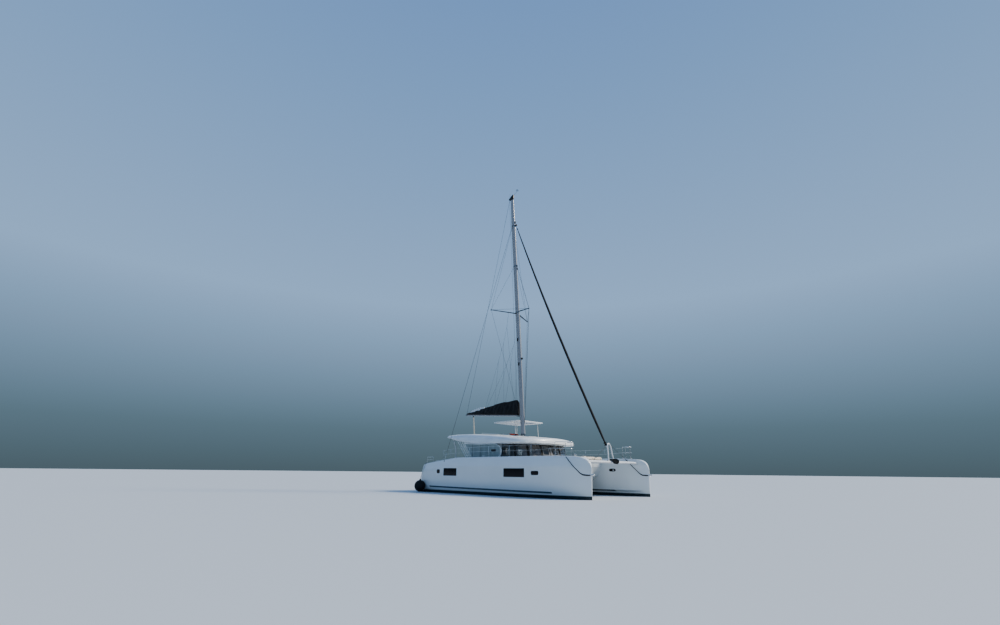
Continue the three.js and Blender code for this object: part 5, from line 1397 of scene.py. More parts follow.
cap = []
for z, grow, tilt in ((20.93, 0.0, 0), (20.94, 0.010, 0), (21.10, 0.014, 0), (21.13, 0.012, 0.6),
                      (21.135, 0.002, 0.6)):
    ring = mast_ring(min(z, MAST_TOP_Z))
    middle = ring.mean(axis=0)
    away = ring - middle
    shell = middle + away * (1 + grow / np.linalg.norm(away, axis=1)[:, None])
    shell[:, 2] = z + tilt * (shell[:, 0] - shell[:, 0].min())
    cap.append(shell)
piece("masthead_cap_sleeve", [skin(cap)], dark_alloy)
head = [(-1.86, 21.03), (-1.88, 21.13), (-1.82, 21.17), (-1.48, 21.365), (-1.42, 21.36), (-1.41, 21.07),
        (-1.5, 21.01), (-1.78, 20.99)]
piece("masthead_crane", [side_slab(head, -0.045, 0.045)], dark_alloy, bevel=0.004)
sheaves = [lathe([(0.001, -0.012), (0.042, -0.012), (0.032, 0), (0.042, 0.012), (0.001, 0.012)],
                 (x, y, 21.065), (0, 1, 0)) for x in (-1.80, -1.47) for y in (-0.016, 0.016)]
piece("masthead_sheaves", sheaves, dark_plastic)
vane = [tube([(-1.45, 0.02, 21.34), (-1.30, 0.02, 21.38), (-1.02, 0.02, 21.57)], 0.007, 8),
        tube([(-1.02, 0.02, 21.55), (-1.02, 0.02, 21.68)], 0.008, 8),
        side_slab([(-1.02, 21.66), (-1.16, 21.63), (-1.16, 21.70)], 0.018, 0.022),
        tube([(-1.78, -0.02, 21.16), (-1.78, -0.02, 21.58)], [0.006, 0.003], 8),
        lathe([(0.02, 0), (0.03, 0.01), (0.03, 0.07), (0.02, 0.085)], (-1.66, 0, 21.24))]
for k in range(3):
    a = 2 * math.pi * k / 3
    vane.append(tube([(-1.02, 0.02, 21.55), (-1.02 + 0.07 * math.cos(a), 0.02 + 0.07 * math.sin(a), 21.55)],
                     0.003, 6))
    vane.append(lathe([(0.001, -0.018), (0.015, -0.010), (0.018, 0.01), (0.010, 0.014)],
                      (-1.02 + 0.08 * math.cos(a), 0.02 + 0.08 * math.sin(a), 21.55),
                      (math.sin(a), -math.cos(a), 0), 14))
piece("masthead_wind_gear_and_aerial", vane, dark_plastic)

# Boom
# A boxy painted alloy boom with cast ends. Its fork turns on the gooseneck pin, and hangers
# under it take the sheet.
BOOM = {"x0": -0.975, "x1": -6.1, "z0": 4.629, "z1": 5.028, "half": 0.06, "tall": 0.098}


def boom_z(x):
    """Height of the boom's underside."""
    share = (BOOM["x0"] - np.asarray(x, float)) / (BOOM["x0"] - BOOM["x1"])
    return BOOM["z0"] + (BOOM["z1"] - BOOM["z0"]) * share


def boom_ring(x, grow=0.0, sides=28):
    """A rounded box section, x fixed."""
    t = full_turn(sides)
    y = (BOOM["half"] + grow) * power(np.cos(t), 0.45)
    z = boom_z(x) + 0.05 + (BOOM["tall"] / 2 + grow) * power(np.sin(t), 0.45)
    return stacked(x, y, z)


fork = [soft_plate(-0.99, -0.876, -0.025, 0.025, z, z + 0.02, 0.012, 0.002) for z in (4.706, 4.624)]
gooseneck_pin = [lathe([(0.016, 0.0), (0.016, 0.008), (0.0117, 0.009), (0.0117, 0.111), (0.016, 0.112),
                        (0.016, 0.12)], (-0.9, 0, 4.615), sides=20)]
piece("boom_extrusion", [skin([boom_ring(x) for x in (-0.98, -2.6, -4.3, -6.0)])], shade_darkened_spar_paint, "boom",
      stands_for=["boom"])
piece("boom_end_castings", [skin([boom_ring(x, g) for x, g in ((-0.972, -0.01), (-0.975, 0.0),
                                                               (-1.08, 0.0015), (-1.085, 0.0))]),
                            skin([boom_ring(x, g) for x, g in ((-5.93, 0.0), (-5.935, 0.0015),
                                                               (-6.085, 0.0015), (-6.1, -0.012))])] + fork,
      anodised, "boom")
piece("boom_gooseneck_pin", gooseneck_pin, stainless, "boom")
boom_fittings = []
for x in (-5.33, -5.28, -3.6, -2.2):
    z = float(boom_z(x))
    boom_fittings.append(tube([(x, 0, z + 0.004), (x - 0.02, 0, z - 0.03), (x + 0.02, 0, z - 0.03),
                               (x, 0, z + 0.004)], 0.005, 8))
piece("boom_hangers", boom_fittings, stainless, "boom")

# Sail bag and stowed mainsail
# A black acrylic-canvas bag laced on the boom holds the flaked sail; it bulges, sags between its
# lazy jacks and is zipped along the top. White folds of sail show where the zip is open aft.
BAG_SECTIONS = np.array([  # place along the boom, height above it, greatest half width
    (-0.93, 0.820, 0.115),
    (-1.10, 0.960, 0.145),
    (-1.50, 0.930, 0.158),
    (-1.95, 0.850, 0.165),
    (-2.50, 0.812, 0.167),
    (-2.97, 0.725, 0.165),
    (-3.40, 0.598, 0.162),
    (-3.85, 0.530, 0.160),
    (-4.60, 0.370, 0.150),
    (-5.61, 0.160, 0.120),
    (-6.00, 0.070, 0.095),
])
JACK_PLACES = (-1.35, -2.25, -3.15, -4.05, -4.95)


def bag_column(k, x):
    return smooth(BAG_SECTIONS[::-1, 0], BAG_SECTIONS[::-1, k], x)


def bag_point(x, h, side, out=0.0):
    """A place on the bag: h is 0 at its foot, 1 at its zip. It is widest at h = 0.15 and narrows to
    the zip, pinched where the lazy jacks lift it, and creased by 0.014 sin(7 x + 8 h + side)
    + 0.008 sin(17 x - 5 h)."""
    x, h = np.broadcast_arrays(np.asarray(x, float), np.asarray(h, float))
    rise, half = (bag_column(k, x) for k in (1, 2))
    shape = np.interp(h, (0, 0.06, 0.15, 0.3, 0.5, 0.7, 0.86, 0.95, 1),
                      (0.70, 0.88, 1.0, 0.97, 0.86, 0.66, 0.47, 0.36, 0))
    shape = np.where(h > 0.95, np.sqrt(np.clip((1 - h) / 0.05, 0, 1)) * 0.36, shape)
    pinch = sum(np.exp(-((x - p) / 0.09) ** 2) for p in JACK_PLACES)
    body = h * (1 - h) * 4
    crease = 0.014 * np.sin(7 * x + 8 * h + side) + 0.008 * np.sin(17 * x - 5 * h)
    y = half * shape * (1 - 0.10 * pinch * body) + crease * body * np.minimum(rise / 0.5, 1) + out
    sag = 0.012 * np.sin(5.1 * x) * h
    z = boom_z(x) + 0.1005 + rise * h * (1 - 0.012 * (1 - pinch)) + sag * 0.6
    return np.stack([x, y * side, z], -1)


bag_x = np.concatenate([[-0.932], np.linspace(-0.95, -5.98, 150), [-5.998]])
bag_h = np.concatenate([np.linspace(0, 0.9, 22), np.linspace(0.92, 1, 8)])
bag_cloth = woven("black_acrylic_canvas", "15171a", "0c0d10", 0.0012, rough=0.9, sheen=0.15, folds=0.5)
bag_rings = [np.concatenate([bag_point(x, bag_h, 1), bag_point(x, bag_h[::-1][1:], -1)]) for x in bag_x]
bag_rings[0] = bag_rings[0] * (1, 0.85, 1)
bag_rings[-1] = bag_rings[-1] * (1, 0.8, 1)
bag = piece("sail_bag_shell", [skin(bag_rings)], bag_cloth, "boom", stands_for=["sail_bag"],
            angle=60)
straps = []
for x in JACK_PLACES + (-5.6,):
    for side in (-1, 1):
        up = np.linspace(0.02, 0.93, 20)
        edges = [bag_point(x + dx, up, side, out) for dx, out in ((-0.02, 0.0005), (0.02, 0.0005),
                                                                  (0.02, 0.003), (-0.02, 0.003))]
        straps.append(skin(np.stack(edges, 1)))
webbing = woven("black_polyester_webbing", "1d2023", "121416", 0.002, folds=0.0)
piece("sail_bag_straps", straps, webbing, "boom")
zip_x = np.linspace(-0.97, -4.25, 90)
piece("sail_bag_zip", [tube(bag_point(zip_x, 1.0, 1) + (0, 0, 0.002), 0.006, 8)], dark_plastic, "boom")
sailcloth = woven("white_woven_sailcloth", "e3e5e4", "d2d6d7", 0.0008, rough=0.6, sheen=0.1, folds=0.4)
folds = []
for x in np.linspace(-5.62, -4.18, 60):
    t = (x + 5.62) / 1.44
    rise = float(bag_column(1, x)) * 0.55
    crown = float(bag_column(1, x)) + 0.11 * max(0.0,
                                                 math.sin(math.pi * t)) ** 0.5 + 0.012 * math.sin(31 * x)
    lobes = np.linspace(-1, 1, 41)
    wave = 0.018 * np.cos(lobes * 9.4 + 3 * math.sin(2.1 * x)) * (1 - lobes ** 2)
    width = 0.075 + 0.012 * math.sin(13 * x)
    y = width * lobes
    z = boom_z(x) + 0.1 + rise + (crown - rise) * (1 - lobes ** 4) * (1 + wave * 2) + wave * 0.6
    low = stacked(x, np.linspace(width, -width, 9) * 0.9, float(boom_z(x)) + 0.1 + rise - 0.004)
    folds.append(np.concatenate([stacked(x, y, z), low]))
stow = piece("mainsail_stowed_folds", [skin(folds)], sailcloth, "boom", angle=70)

# Furled headsail and its stay
# The jib is rolled on its stay from a black drum at the foot to a swivel near the hounds. Its
# dark sun strip winds round it, so the roll is a slow spiral, slack in places.
STAY = {"foot": (5.47, 2.61), "head": (mast_x(18.9) + 0.175 + 0.0143, 18.9), "sag": 0.18}
FURL_RADII = np.array([(0, 0.022), (0.006, 0.022), (0.012, 0.040), (0.03, 0.060), (0.12, 0.074),
                       (0.4, 0.078), (0.7, 0.062), (0.93, 0.034), (0.955, 0.024)])


def stay_point(t):
    """A place on the sagging stay: straight from foot to head, less 4 sag t (1 - t) aft."""
    (x0, z0), (x1, z1) = STAY["foot"], STAY["head"]
    t = np.asarray(t, float)
    return np.stack([x0 + (x1 - x0) * t - STAY["sag"] * 4 * t * (1 - t), 0 * t, z0 + (z1 - z0) * t], -1)


def furl_ring(t, sides=44):
    """A rolled section: radius steps by 7% at the leech, whose place turns once every 1.6 m."""
    a = full_turn(sides)
    turn = float(stay_point(t)[2]) / 1.6
    saw = (a / (2 * np.pi) - turn) % 1
    radius = float(smooth(FURL_RADII[:, 0], FURL_RADII[:, 1],
                          t)) * (0.955 + 0.07 * saw + 0.015 * np.sin(3 * a + 9 * turn))
    centre = stay_point(t)
    return stacked(centre[0] + radius * np.cos(a), radius * np.sin(a), centre[2])


sun_strip = woven("dark_grey_sun_strip_canvas", "16181b", "0d0e10", 0.0012, rough=0.85, sheen=0.2,
                  folds=0.35)
roll_t = np.concatenate([np.linspace(0.013, 0.03, 8), np.linspace(0.035, 0.93, 190),
                         np.linspace(0.932, 0.955, 12)])
jib = piece("headsail_furled_roll", [skin([furl_ring(t) for t in roll_t])], sun_strip,
            stands_for=["forestay_jib"], angle=60)
stay_line = stay_point(np.linspace(0.0, 1.0, 24))
piece("forestay_wire", [tube(stay_line, 0.007, 8)], wire)


def along_stay(profile, t, sides=28):
    """A turned fitting threaded on the stay."""
    here, way = stay_point(t), stay_point(t + 0.002) - stay_point(t)
    return lathe(profile, here, way, sides)


piece("headsail_furling_drum", [along_stay([(0.02, -0.02), (0.085, -0.015), (0.09, 0.0), (0.06, 0.012),
                                            (0.055, 0.06), (0.06, 0.105), (0.09, 0.115), (0.086, 0.13),
                                            (0.03, 0.14), (0.022, 0.24)], 0.004),
                                along_stay([(0.015, 0), (0.034, 0.01), (0.036, 0.10), (0.028, 0.13),
                                            (0.015, 0.16)], 0.957)], dark_plastic)
piece("forestay_toggles", [along_stay([(0.008, 0), (0.018, 0.01), (0.018, 0.16), (0.008, 0.18)], 0.0, 14),
                           along_stay([(0.008, 0), (0.02, 0.02), (0.02, 0.14), (0.008, 0.17)], 0.985, 14)],
      stainless)


# Cap shrouds
# Wires from the hounds to chainplates on the topsides, each with a turnbuckle at its foot.
for name, side in SIDES.items():
    foot = np.array([-3.78, 3.70 * side, 1.80])
    top = np.array([mast_x(HOUNDS_Z) - 0.01, 0.107 * side, HOUNDS_Z])
    way = (top - foot) / np.linalg.norm(top - foot)
    plate = [(-3.82, 1.70), (-3.74, 1.70), (-3.745, 1.86), (-3.765, 1.885), (-3.795, 1.885), (-3.815, 1.86)]
    screw = lathe([(0.006, 0.04), (0.010, 0.05), (0.010, 0.16), (0.017, 0.18), (0.017, 0.40), (0.010, 0.42),
                   (0.010, 0.52), (0.006, 0.54)], foot, way, 16)
    piece(f"cap_shroud_{name}_wire", [tube([foot, top], 0.008, 10)], wire,
          stands_for=[f"cap_shroud_{name}"])
    piece(f"cap_shroud_{name}_fittings", [screw, side_slab(plate, *across_boat(3.694, 3.706, side)),
                                          lathe([(0.012, -0.014), (0.012, 0.014)], foot, (0, 1, 0), 16)],
          stainless)

# Running rigging
# Polyester lines of 8 to 16 mm, all under load: topping lift, lazy jacks, halyards and sheet.
def braided_rope(name, light, dark):
    """Plaited polyester: two tones that wind round the line, with a fuzzy, dull surface."""
    made, tree, shader, place = new_finish(name, Roughness=0.85, Sheen_Weight=0.2)
    plait = add(tree, "TexWave", {"Vector": place, "Scale": 30.0, "Distortion": 3.0, "Detail": 2.0},
                bands_direction="DIAGONAL").outputs["Fac"]
    feed(shader, {"Base Color": add(tree, "ValToRGB", {"Fac": plait}, stops=[(0.3, dark), (0.7, light)]),
                  "Normal": add(tree, "Bump", {"Height": plait, "Distance": 0.001, "Strength": 0.5})})
    return made


dark_rope = braided_rope("navy_braided_polyester", "2b3038", "15181d")
pale_rope = braided_rope("white_braided_polyester", "cfcdc4", "a9a79d")


def crossing(name, parts, finish):
    """A piece from the fixed rig to the boom, its placement baked into its mesh."""
    made = joined(name, parts, finish)
    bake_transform(made)


def straight(a, b, count=24):
    return np.array(a, float) + (np.array(b, float) - np.array(a, float)) * np.linspace(0, 1, count)[:, None]


lift_top, lift_end = (-1.82, 0.0, 21.05), (-6.05, 0.0, float(boom_z(-6.05)) + 0.10)
crossing("topping_lift", [tube(straight(lift_top, lift_end, 40), 0.007, 8)], dark_rope)
for name, side in SIDES.items():
    hang = np.array([spreader_x - 0.26, 0.62 * side, SPREADER_Z - 0.03])
    fork_high = np.array([-1.50, 0.58 * side, 10.68])
    fork_mid = np.array([-1.90, 0.50 * side, 9.60])
    fork_low = np.array([-2.45, 0.42 * side, 8.40])
    ends = [bag_point(x, 0.90, side) for x in JACK_PLACES]
    lines = [tube(straight(hang, fork_high, 6), 0.0045, 6), tube(straight(fork_high, ends[0], 24), 0.004, 6),
             tube(straight(fork_high, fork_mid, 6), 0.0045, 6),
             tube(straight(fork_mid, ends[1], 24), 0.004, 6),
             tube(straight(fork_mid, fork_low, 6), 0.0045, 6),
             tube(straight(fork_low, ends[2], 20), 0.004, 6),
             tube(straight(fork_low, ends[3], 20), 0.004, 6)]
    crossing(f"lazy_jacks_{name}", lines, dark_rope)
head_place = bag_point(-1.12, 1.0, 1)
crossing("main_halyard", [tube(straight((-1.84, 0.0, 21.02), head_place, 40), 0.006, 8)], dark_rope)
sheet_top = np.array([-5.33, 0.0, float(boom_z(-5.33)) - 0.06])
sheet_base = roof_top(-5.18, 0.0)
sheet_foot = np.array([-5.18, 0.0, sheet_base + 0.10])
falls = [tube(straight(sheet_foot + (dx, dy, 0), sheet_top + (dx, dy, 0), 12), 0.008, 8) for dx,
         dy in ((-0.034, -0.026), (0.0, -0.026), (0.034, -0.026), (-0.034, 0.026), (0.0, 0.026),
                (0.034, 0.026))]
crossing("mainsheet_falls", falls, pale_rope)


def rope_block(at):
    """A block: two cheeks with rounded edges, and its sheave between them."""
    x, y, z = at
    outline = rounded_outline(-0.032, 0.032, -0.05, 0.05, 0.028)
    made = []
    for off in (-0.024, 0.012):
        made.append(skin([[(x + a, y + off + w, z + b) for a, b in outline] for w in (0, 0.012)]))
    made.append(lathe([(0.022, -0.010), (0.026, -0.008), (0.020, 0), (0.026, 0.008), (0.022, 0.010)], at,
                      (0, 1, 0), 20))
    return made


piece("mainsheet_upper_block", rope_block(sheet_top), dark_plastic, "boom")
piece("mainsheet_lower_block", rope_block(sheet_foot), dark_plastic)
piece("mainsheet_pad_eye", [lathe([(0.05, 0.0), (0.05, 0.006), (0.03, 0.010)],
                                  (-5.18, 0, sheet_base + 0.001)),
                            tube([(-5.18, -0.02, sheet_base + 0.008), (-5.18, -0.02, sheet_base + 0.045),
                                  (-5.18, 0, sheet_base + 0.058), (-5.18, 0.02, sheet_base + 0.045),
                                  (-5.18, 0.02, sheet_base + 0.008)], 0.006, 10)], stainless)
halyards = [tube([mast_face(11.4, 0, 0.03), mast_face(LAMP_Z + 0.06, 0, 0.07)], 0.007, 6)]
halyards += [tube([(mast_x(19.0), 0.112 * side, 19.0), (mast_x(4.1) + 0.03, 0.125 * side, 4.1)], 0.005, 6)
            for side in (-1, 1)]
piece("mast_halyard_falls", halyards, pale_rope)


def winch(at, radius):
    """A self-tailing winch as a turned profile."""
    shape = [(1.3, 0), (1.3, 0.15), (1.0, 0.35), (0.82, 0.9), (0.84, 1.4), (1.0, 1.7), (1.12, 1.75),
             (1.12, 1.88), (0.95, 1.92), (1.12, 1.96), (1.1, 2.15), (0.5, 2.22), (0.02, 2.24)]
    return lathe([(r * radius, h * radius) for r, h in shape], at, sides=36)


winches = [winch((x, y, roof_top(x, y) - 0.003), r) for x, y, r in
           ((-2.0, 2.22, 0.062), (-2.12, 0.25, 0.062), (-2.02, -0.35, 0.055))]
piece("roof_winches", winches, stainless)
clutches, levers = [], []
for x, y0 in ((-1.32, -0.42), (-0.98, -0.40)):
    for y in y0 + 0.07 * np.arange(5):
        z = roof_top(x, y)
        clutches.append(soft_plate(x - 0.10, x + 0.10, y, y + 0.05, z - 0.002, z + 0.05, 0.012, 0.006))
        levers.append(side_slab([(x + 0.05, z + 0.04), (x + 0.08, z + 0.05), (x - 0.02, z + 0.125),
                                 (x - 0.12, z + 0.13), (x - 0.12, z + 0.108), (x - 0.03, z + 0.10)],
                                y + 0.008, y + 0.042))
piece("roof_rope_clutches", clutches, dark_plastic)
piece("roof_clutch_levers", levers, rubber("orange_red_moulded_lever", "b23a1c", 300.0),
      bevel=0.003)


# Crossbeam, striker arch and nets
# A painted alloy beam joins the bows; the arch over it carries the forestay, with wires spread
# along the beam. Nets of knotless cord are laced between beam, longeron, hulls and foredeck.
BEAM = {"x": 5.72, "z": 1.77, "radius": 0.07}
beam_end = float(hull_column("inner_y", 5.525)) - 0.0004
beam_y = np.array([-beam_end, -beam_end + 0.02, -beam_end + 0.022, 0.0, beam_end - 0.022, beam_end - 0.02,
                   beam_end])
beam_r = np.array([0.085, 0.085, BEAM["radius"], BEAM["radius"], BEAM["radius"], 0.085, 0.085])
beam_path = stacked(BEAM["x"], beam_y, BEAM["z"])


def bent_path(points, bend=0.1, steps=7):
    """A line through points whose inner corners are rounded by quadratic curves, bend long."""
    points = np.asarray(points, float)
    out = [points[0]]
    for before, here, after in zip(points, points[1:], points[2:]):
        back, on = before - here, after - here
        a = here + back / np.linalg.norm(back) * min(bend, np.linalg.norm(back) * 0.45)
        b = here + on / np.linalg.norm(on) * min(bend, np.linalg.norm(on) * 0.45)
        t = np.linspace(0, 1, steps)[:, None]
        out += list((1 - t) ** 2 * a + 2 * t * (1 - t) * here + t * t * b)
    out.append(points[-1])
    return np.array(out)


half_arch = [(5.71, 0.24, 1.81), (5.625, 0.15, 2.60), (5.605, 0.085, 2.705), (5.60, 0.0, 2.735)]
arch = bent_path(half_arch + [(x, -y, z) for x, y, z in half_arch[-2::-1]], 0.07)
longeron = [(5.70, 1.715), (5.70, 1.812), (3.6402, 1.812), (3.6402, 1.715)]
parts = [tube(beam_path, beam_r, 40), tube(arch, 0.034, 24), side_slab(longeron, -0.076, 0.076),
         tube([(5.60, 0, 2.712), (5.47, 0, 2.560)], 0.014, 14),
         lathe([(0.001, -0.036), (0.025, -0.026), (0.0355, 0), (0.025, 0.026), (0.001, 0.0355)],
               (5.47, 0, 2.5737), sides=24)]
for side in (-1, 1):
    flange = rounded_outline(BEAM["x"] - 0.11, BEAM["x"] + 0.11, BEAM["z"] - 0.11, BEAM["z"] + 0.11, 0.03)
    y0, y1 = across_boat(beam_end - 0.014, beam_end, side)
    parts.append(skin([[(x, y, z) for x, z in flange] for y in (y0, y1)]))
    parts.append(tube([(5.71, 0.24 * side, 1.79), (5.712, 0.24 * side, 1.845)], 0.044, 20))
piece("crossbeam_and_striker_arch", parts, beam_paint, stands_for=["crossbeam"],
      bevel=0.002)
spread = [tube([(BEAM["x"], 1.65 * side, 1.84), (5.61, 0.11 * side, 2.68)], 0.008, 10) for side in (-1, 1)]
spread += [lathe([(0.014, -0.01), (0.018, 0.0), (0.018, 0.12), (0.010, 0.14)],
                 (BEAM["x"], 1.65 * side, 1.845), (-0.11, -1.54 * side, 0.84), 16) for side in (-1, 1)]
piece("striker_wires", spread, wire)
lines = []
for side in (-1, 1):
    lines.append(tube([(BEAM["x"] + 0.069, 0.3 * side, BEAM["z"] - 0.03),
                       (BEAM["x"] + 0.069, 2.3 * side, BEAM["z"] - 0.03)], 0.004, 6))
piece("crossbeam_net_track", lines, anodised)


def knotless_net(mesh=0.03):
    """Heat-set polyester net: cords at 30 mm both ways with clear gaps between (alpha), each cord
    shaded round by its height."""
    made, tree, shader, place = mottled("grey_knotless_trampoline_net", (3, 5),
                                        [(0.3, "9aa0a3"), (0.7, "b9bdbe")], Roughness=0.8)
    split = add(tree, "SeparateXYZ", {"Vector": place})
    near = []
    for axis in ("X", "Y"):
        turns = add(tree, "Math", {0: split.outputs[axis], 1: mesh}, operation="PINGPONG")
        near.append(add(tree, "Math", {0: turns, 1: mesh * 0.17}, operation="LESS_THAN"))
    cord = add(tree, "Math", {0: near[0], 1: near[1]}, operation="MAXIMUM")
    feed(shader, {"Alpha": cord, "Normal": add(tree, "Bump", {"Height": cord, "Distance": 0.003,
                                                              "Strength": 0.6})})
    return made


netting = knotless_net()
hem_cloth = woven("grey_net_hem_webbing", "8b9194", "757a7d", 0.002, folds=0.0)
NET = {"x0": 3.645, "x1": 5.56, "y": 0.09, "z": 1.8315}


def net_edge(x):
    """Half width of the net at a place, a hand's breadth clear of the hull."""
    return np.minimum(hull_column("inner_y", x) - 0.045, 2.10 + (np.asarray(x) - NET["x0"]) * 2)


for name, side in SIDES.items():
    xs = np.linspace(NET["x0"], NET["x1"], 40)
    across = np.linspace(0, 1, 36)
    y = NET["y"] + (net_edge(xs)[:, None] - NET["y"]) * across
    sag = 0.004 * np.sin(np.pi * across) * np.sin(np.pi * np.linspace(0, 1, 40))[:, None]
    points = np.stack([np.broadcast_to(xs[:, None], y.shape), y * side, NET["z"] - sag], -1)
    net = joined(f"trampoline_{name}_net", [(points.reshape(-1, 3), grid_faces(40, 36))], netting)
    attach(net, "root")
    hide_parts(f"trampoline_{name}")
    border = [(x, float(net_edge(x)) - 0.02, NET["z"]) for x in np.linspace(NET["x0"] + 0.02,
                                                                            NET["x1"] - 0.02, 14)]
    border += [(NET["x1"] - 0.02, NET["y"] + 0.02, NET["z"]), (NET["x0"] + 0.02, NET["y"] + 0.02, NET["z"])]
    rope = tube(np.array(border) * (1, side, 1), 0.006, 8, closed=True)
    hem = piece(f"trampoline_{name}_hem", [rope], hem_cloth)
    lacing = []
    for k in range(16):
        y = NET["y"] + 0.1 + k * (net_edge(5.56) - NET["y"] - 0.2) / 15
        lacing.append(tube([(NET["x1"] - 0.03, y * side, NET["z"]),
                            (BEAM["x"] - 0.045, (y + 0.05) * side, 1.825)], 0.003, 6))
    for k in range(15):
        x = NET["x0"] + 0.15 + k * 0.125
        edge = float(net_edge(x))
        lacing.append(tube([(x, (edge - 0.02) * side, NET["z"]),
                            (x + 0.05, (float(hull_column("inner_y", x + 0.05)) + 0.004) * side, 1.80)],
                           0.003, 6))
    piece(f"trampoline_{name}_lacing", lacing, pale_rope)

# Rolled awning
# Pale canvas, lumpy and creased, lashed on the net behind the near bow.
awning_cloth = woven("cream_awning_canvas", "e6dfd0", "d3cab8", 0.0012, rough=0.9, sheen=0.2, folds=0.6)
turn = full_turn(40)
roll_y = np.linspace(-2.18, -0.55, 70)
rings = []
for y in roll_y:
    lump = 0.5 + 0.5 * math.sin(5.2 * y + 0.6) * math.sin(2.3 * y)
    end = min(1.0, (abs(y + 2.18) / 0.09) ** 0.5 + 0.25, (abs(y + 0.55) / 0.09) ** 0.5 + 0.25)
    wide, tall = 0.14 * (0.85 + 0.2 * lump) * end, 0.105 * (0.7 + 0.45 * lump) * end
    crease = 1 + 0.04 * np.sin(7 * turn + 9 * y) + 0.03 * np.sin(11 * turn - 17 * y)
    z = 1.915 + tall * np.sin(turn) * crease
    rings.append(stacked(5.40 + 0.02 * math.sin(3 * y) + wide * np.cos(turn) * crease, y,
                         np.maximum(z, 1.8335)))
roll = piece("foredeck_rolled_awning", [skin(rings)], awning_cloth, angle=70)
ties = []
for y in (-1.95, -1.5, -1.05, -0.7):
    ring = rings[int(np.argmin(np.abs(roll_y - y)))]
    middle = ring.mean(0)
    ties.append(tube(middle + (ring - middle) * 1.02 + (0, 0, 0.001), 0.004, 6, closed=True))
piece("foredeck_awning_ties", ties, dark_rope)

# Ground tackle
# Windlass on the foredeck, and a roller with two cheeks ahead of the beam where the chain leads.
windlass = [soft_plate(3.2, 3.5, -0.11, 0.11, 2.0203, 2.13, 0.04, 0.008)]
windlass.append(lathe([(0.03, -0.105), (0.085, -0.10), (0.085, -0.04), (0.055, -0.02), (0.05, 0.02),
                       (0.085, 0.04), (0.085, 0.09), (0.045, 0.105), (0.04, 0.15)], (3.33, 0, 2.17),
                      (0, 1, 0), 36))
piece("windlass_casting", windlass, cast_metal("chromed_windlass_casting", "b9bdbf", "9da2a5", 0.9, 0.25),
      stands_for=["windlass"])
cheek = [(5.45, 1.845), (5.62, 1.93), (6.02, 1.94), (6.14, 1.88), (6.16, 1.76), (6.06, 1.67), (5.88, 1.70),
         (5.78, 1.84)]
roller = [side_slab(cheek, y, y + 0.008) for y in (-0.055, 0.047)]
piece("anchor_roller_cheeks", roller, dark_alloy, bevel=0.002)
piece("anchor_roller_wheel", [lathe([(0.035, -0.045), (0.05, -0.04), (0.03, -0.01), (0.03, 0.01),
                                     (0.05, 0.04), (0.035, 0.045)], (6.0, 0, 1.81), (0, 1, 0), 28),
                              lathe([(0.008, -0.065), (0.008, 0.065)], (6.0, 0, 1.81), (0, 1, 0), 14)],
      dark_plastic)


# Bow eyes and the black strip of painted shade in each bow's channel
# A stainless eye is bolted through each stem. A black strip in each channel, widest where it runs level to
# the stem, is painted shade of the channel.
for name, side in SIDES.items():
    y = 2.79 * side
    ring_turn = full_turn(28)
    loop = stacked(6.458 + 0.036 * np.cos(ring_turn), y, 1.13 + 0.036 * np.sin(ring_turn))
    box_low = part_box(f"bow_eye_{name}")[0]
    stem = [lathe([(0.05, 0.0), (0.05, 0.014), (0.034, 0.03), (0.028, 0.06), (0.022, 0.10)],
                  (box_low[0] + 0.0003, y, 1.13), (1, 0, 0), 24), tube(loop, 0.015, 12, closed=True)]
    piece(f"bow_eye_{name}_casting", stem, stainless, stands_for=[f"bow_eye_{name}"])
    channel_shade_strips = [tube(bow_channel(side, reach), [0.019] * 4 + [0.022, 0.028, 0.030, 0.022],
                   10) for reach in (1, -1)]
    piece(f"bow_channel_{name}_shade_strip", channel_shade_strips, black_sealant_and_shade_strips)


# Pulpits, lifelines and stern rails
# Polished stainless tube of 25 mm, bent and welded, on round bases; two wires run through the
# stanchions with turnbuckles at the ends.
PULPIT_PATH = [(4.50, 3.23), (5.06, 3.10), (5.30, 2.95), (5.30, 2.75), (5.06, 2.62)]
STANCHIONS = (-4.0, -3.32, -1.6, 0.0, 1.6, 3.1)
RAIL_RADIUS = 0.0125


def on_deck(x, y, side, rise=0.0):
    return (x, y * side, deck_height(x) + rise)


def foot_plate(at):
    return lathe([(0.036, 0.0004), (0.036, 0.006), (0.02, 0.010), (0.0165, 0.03)], at, sides=20)


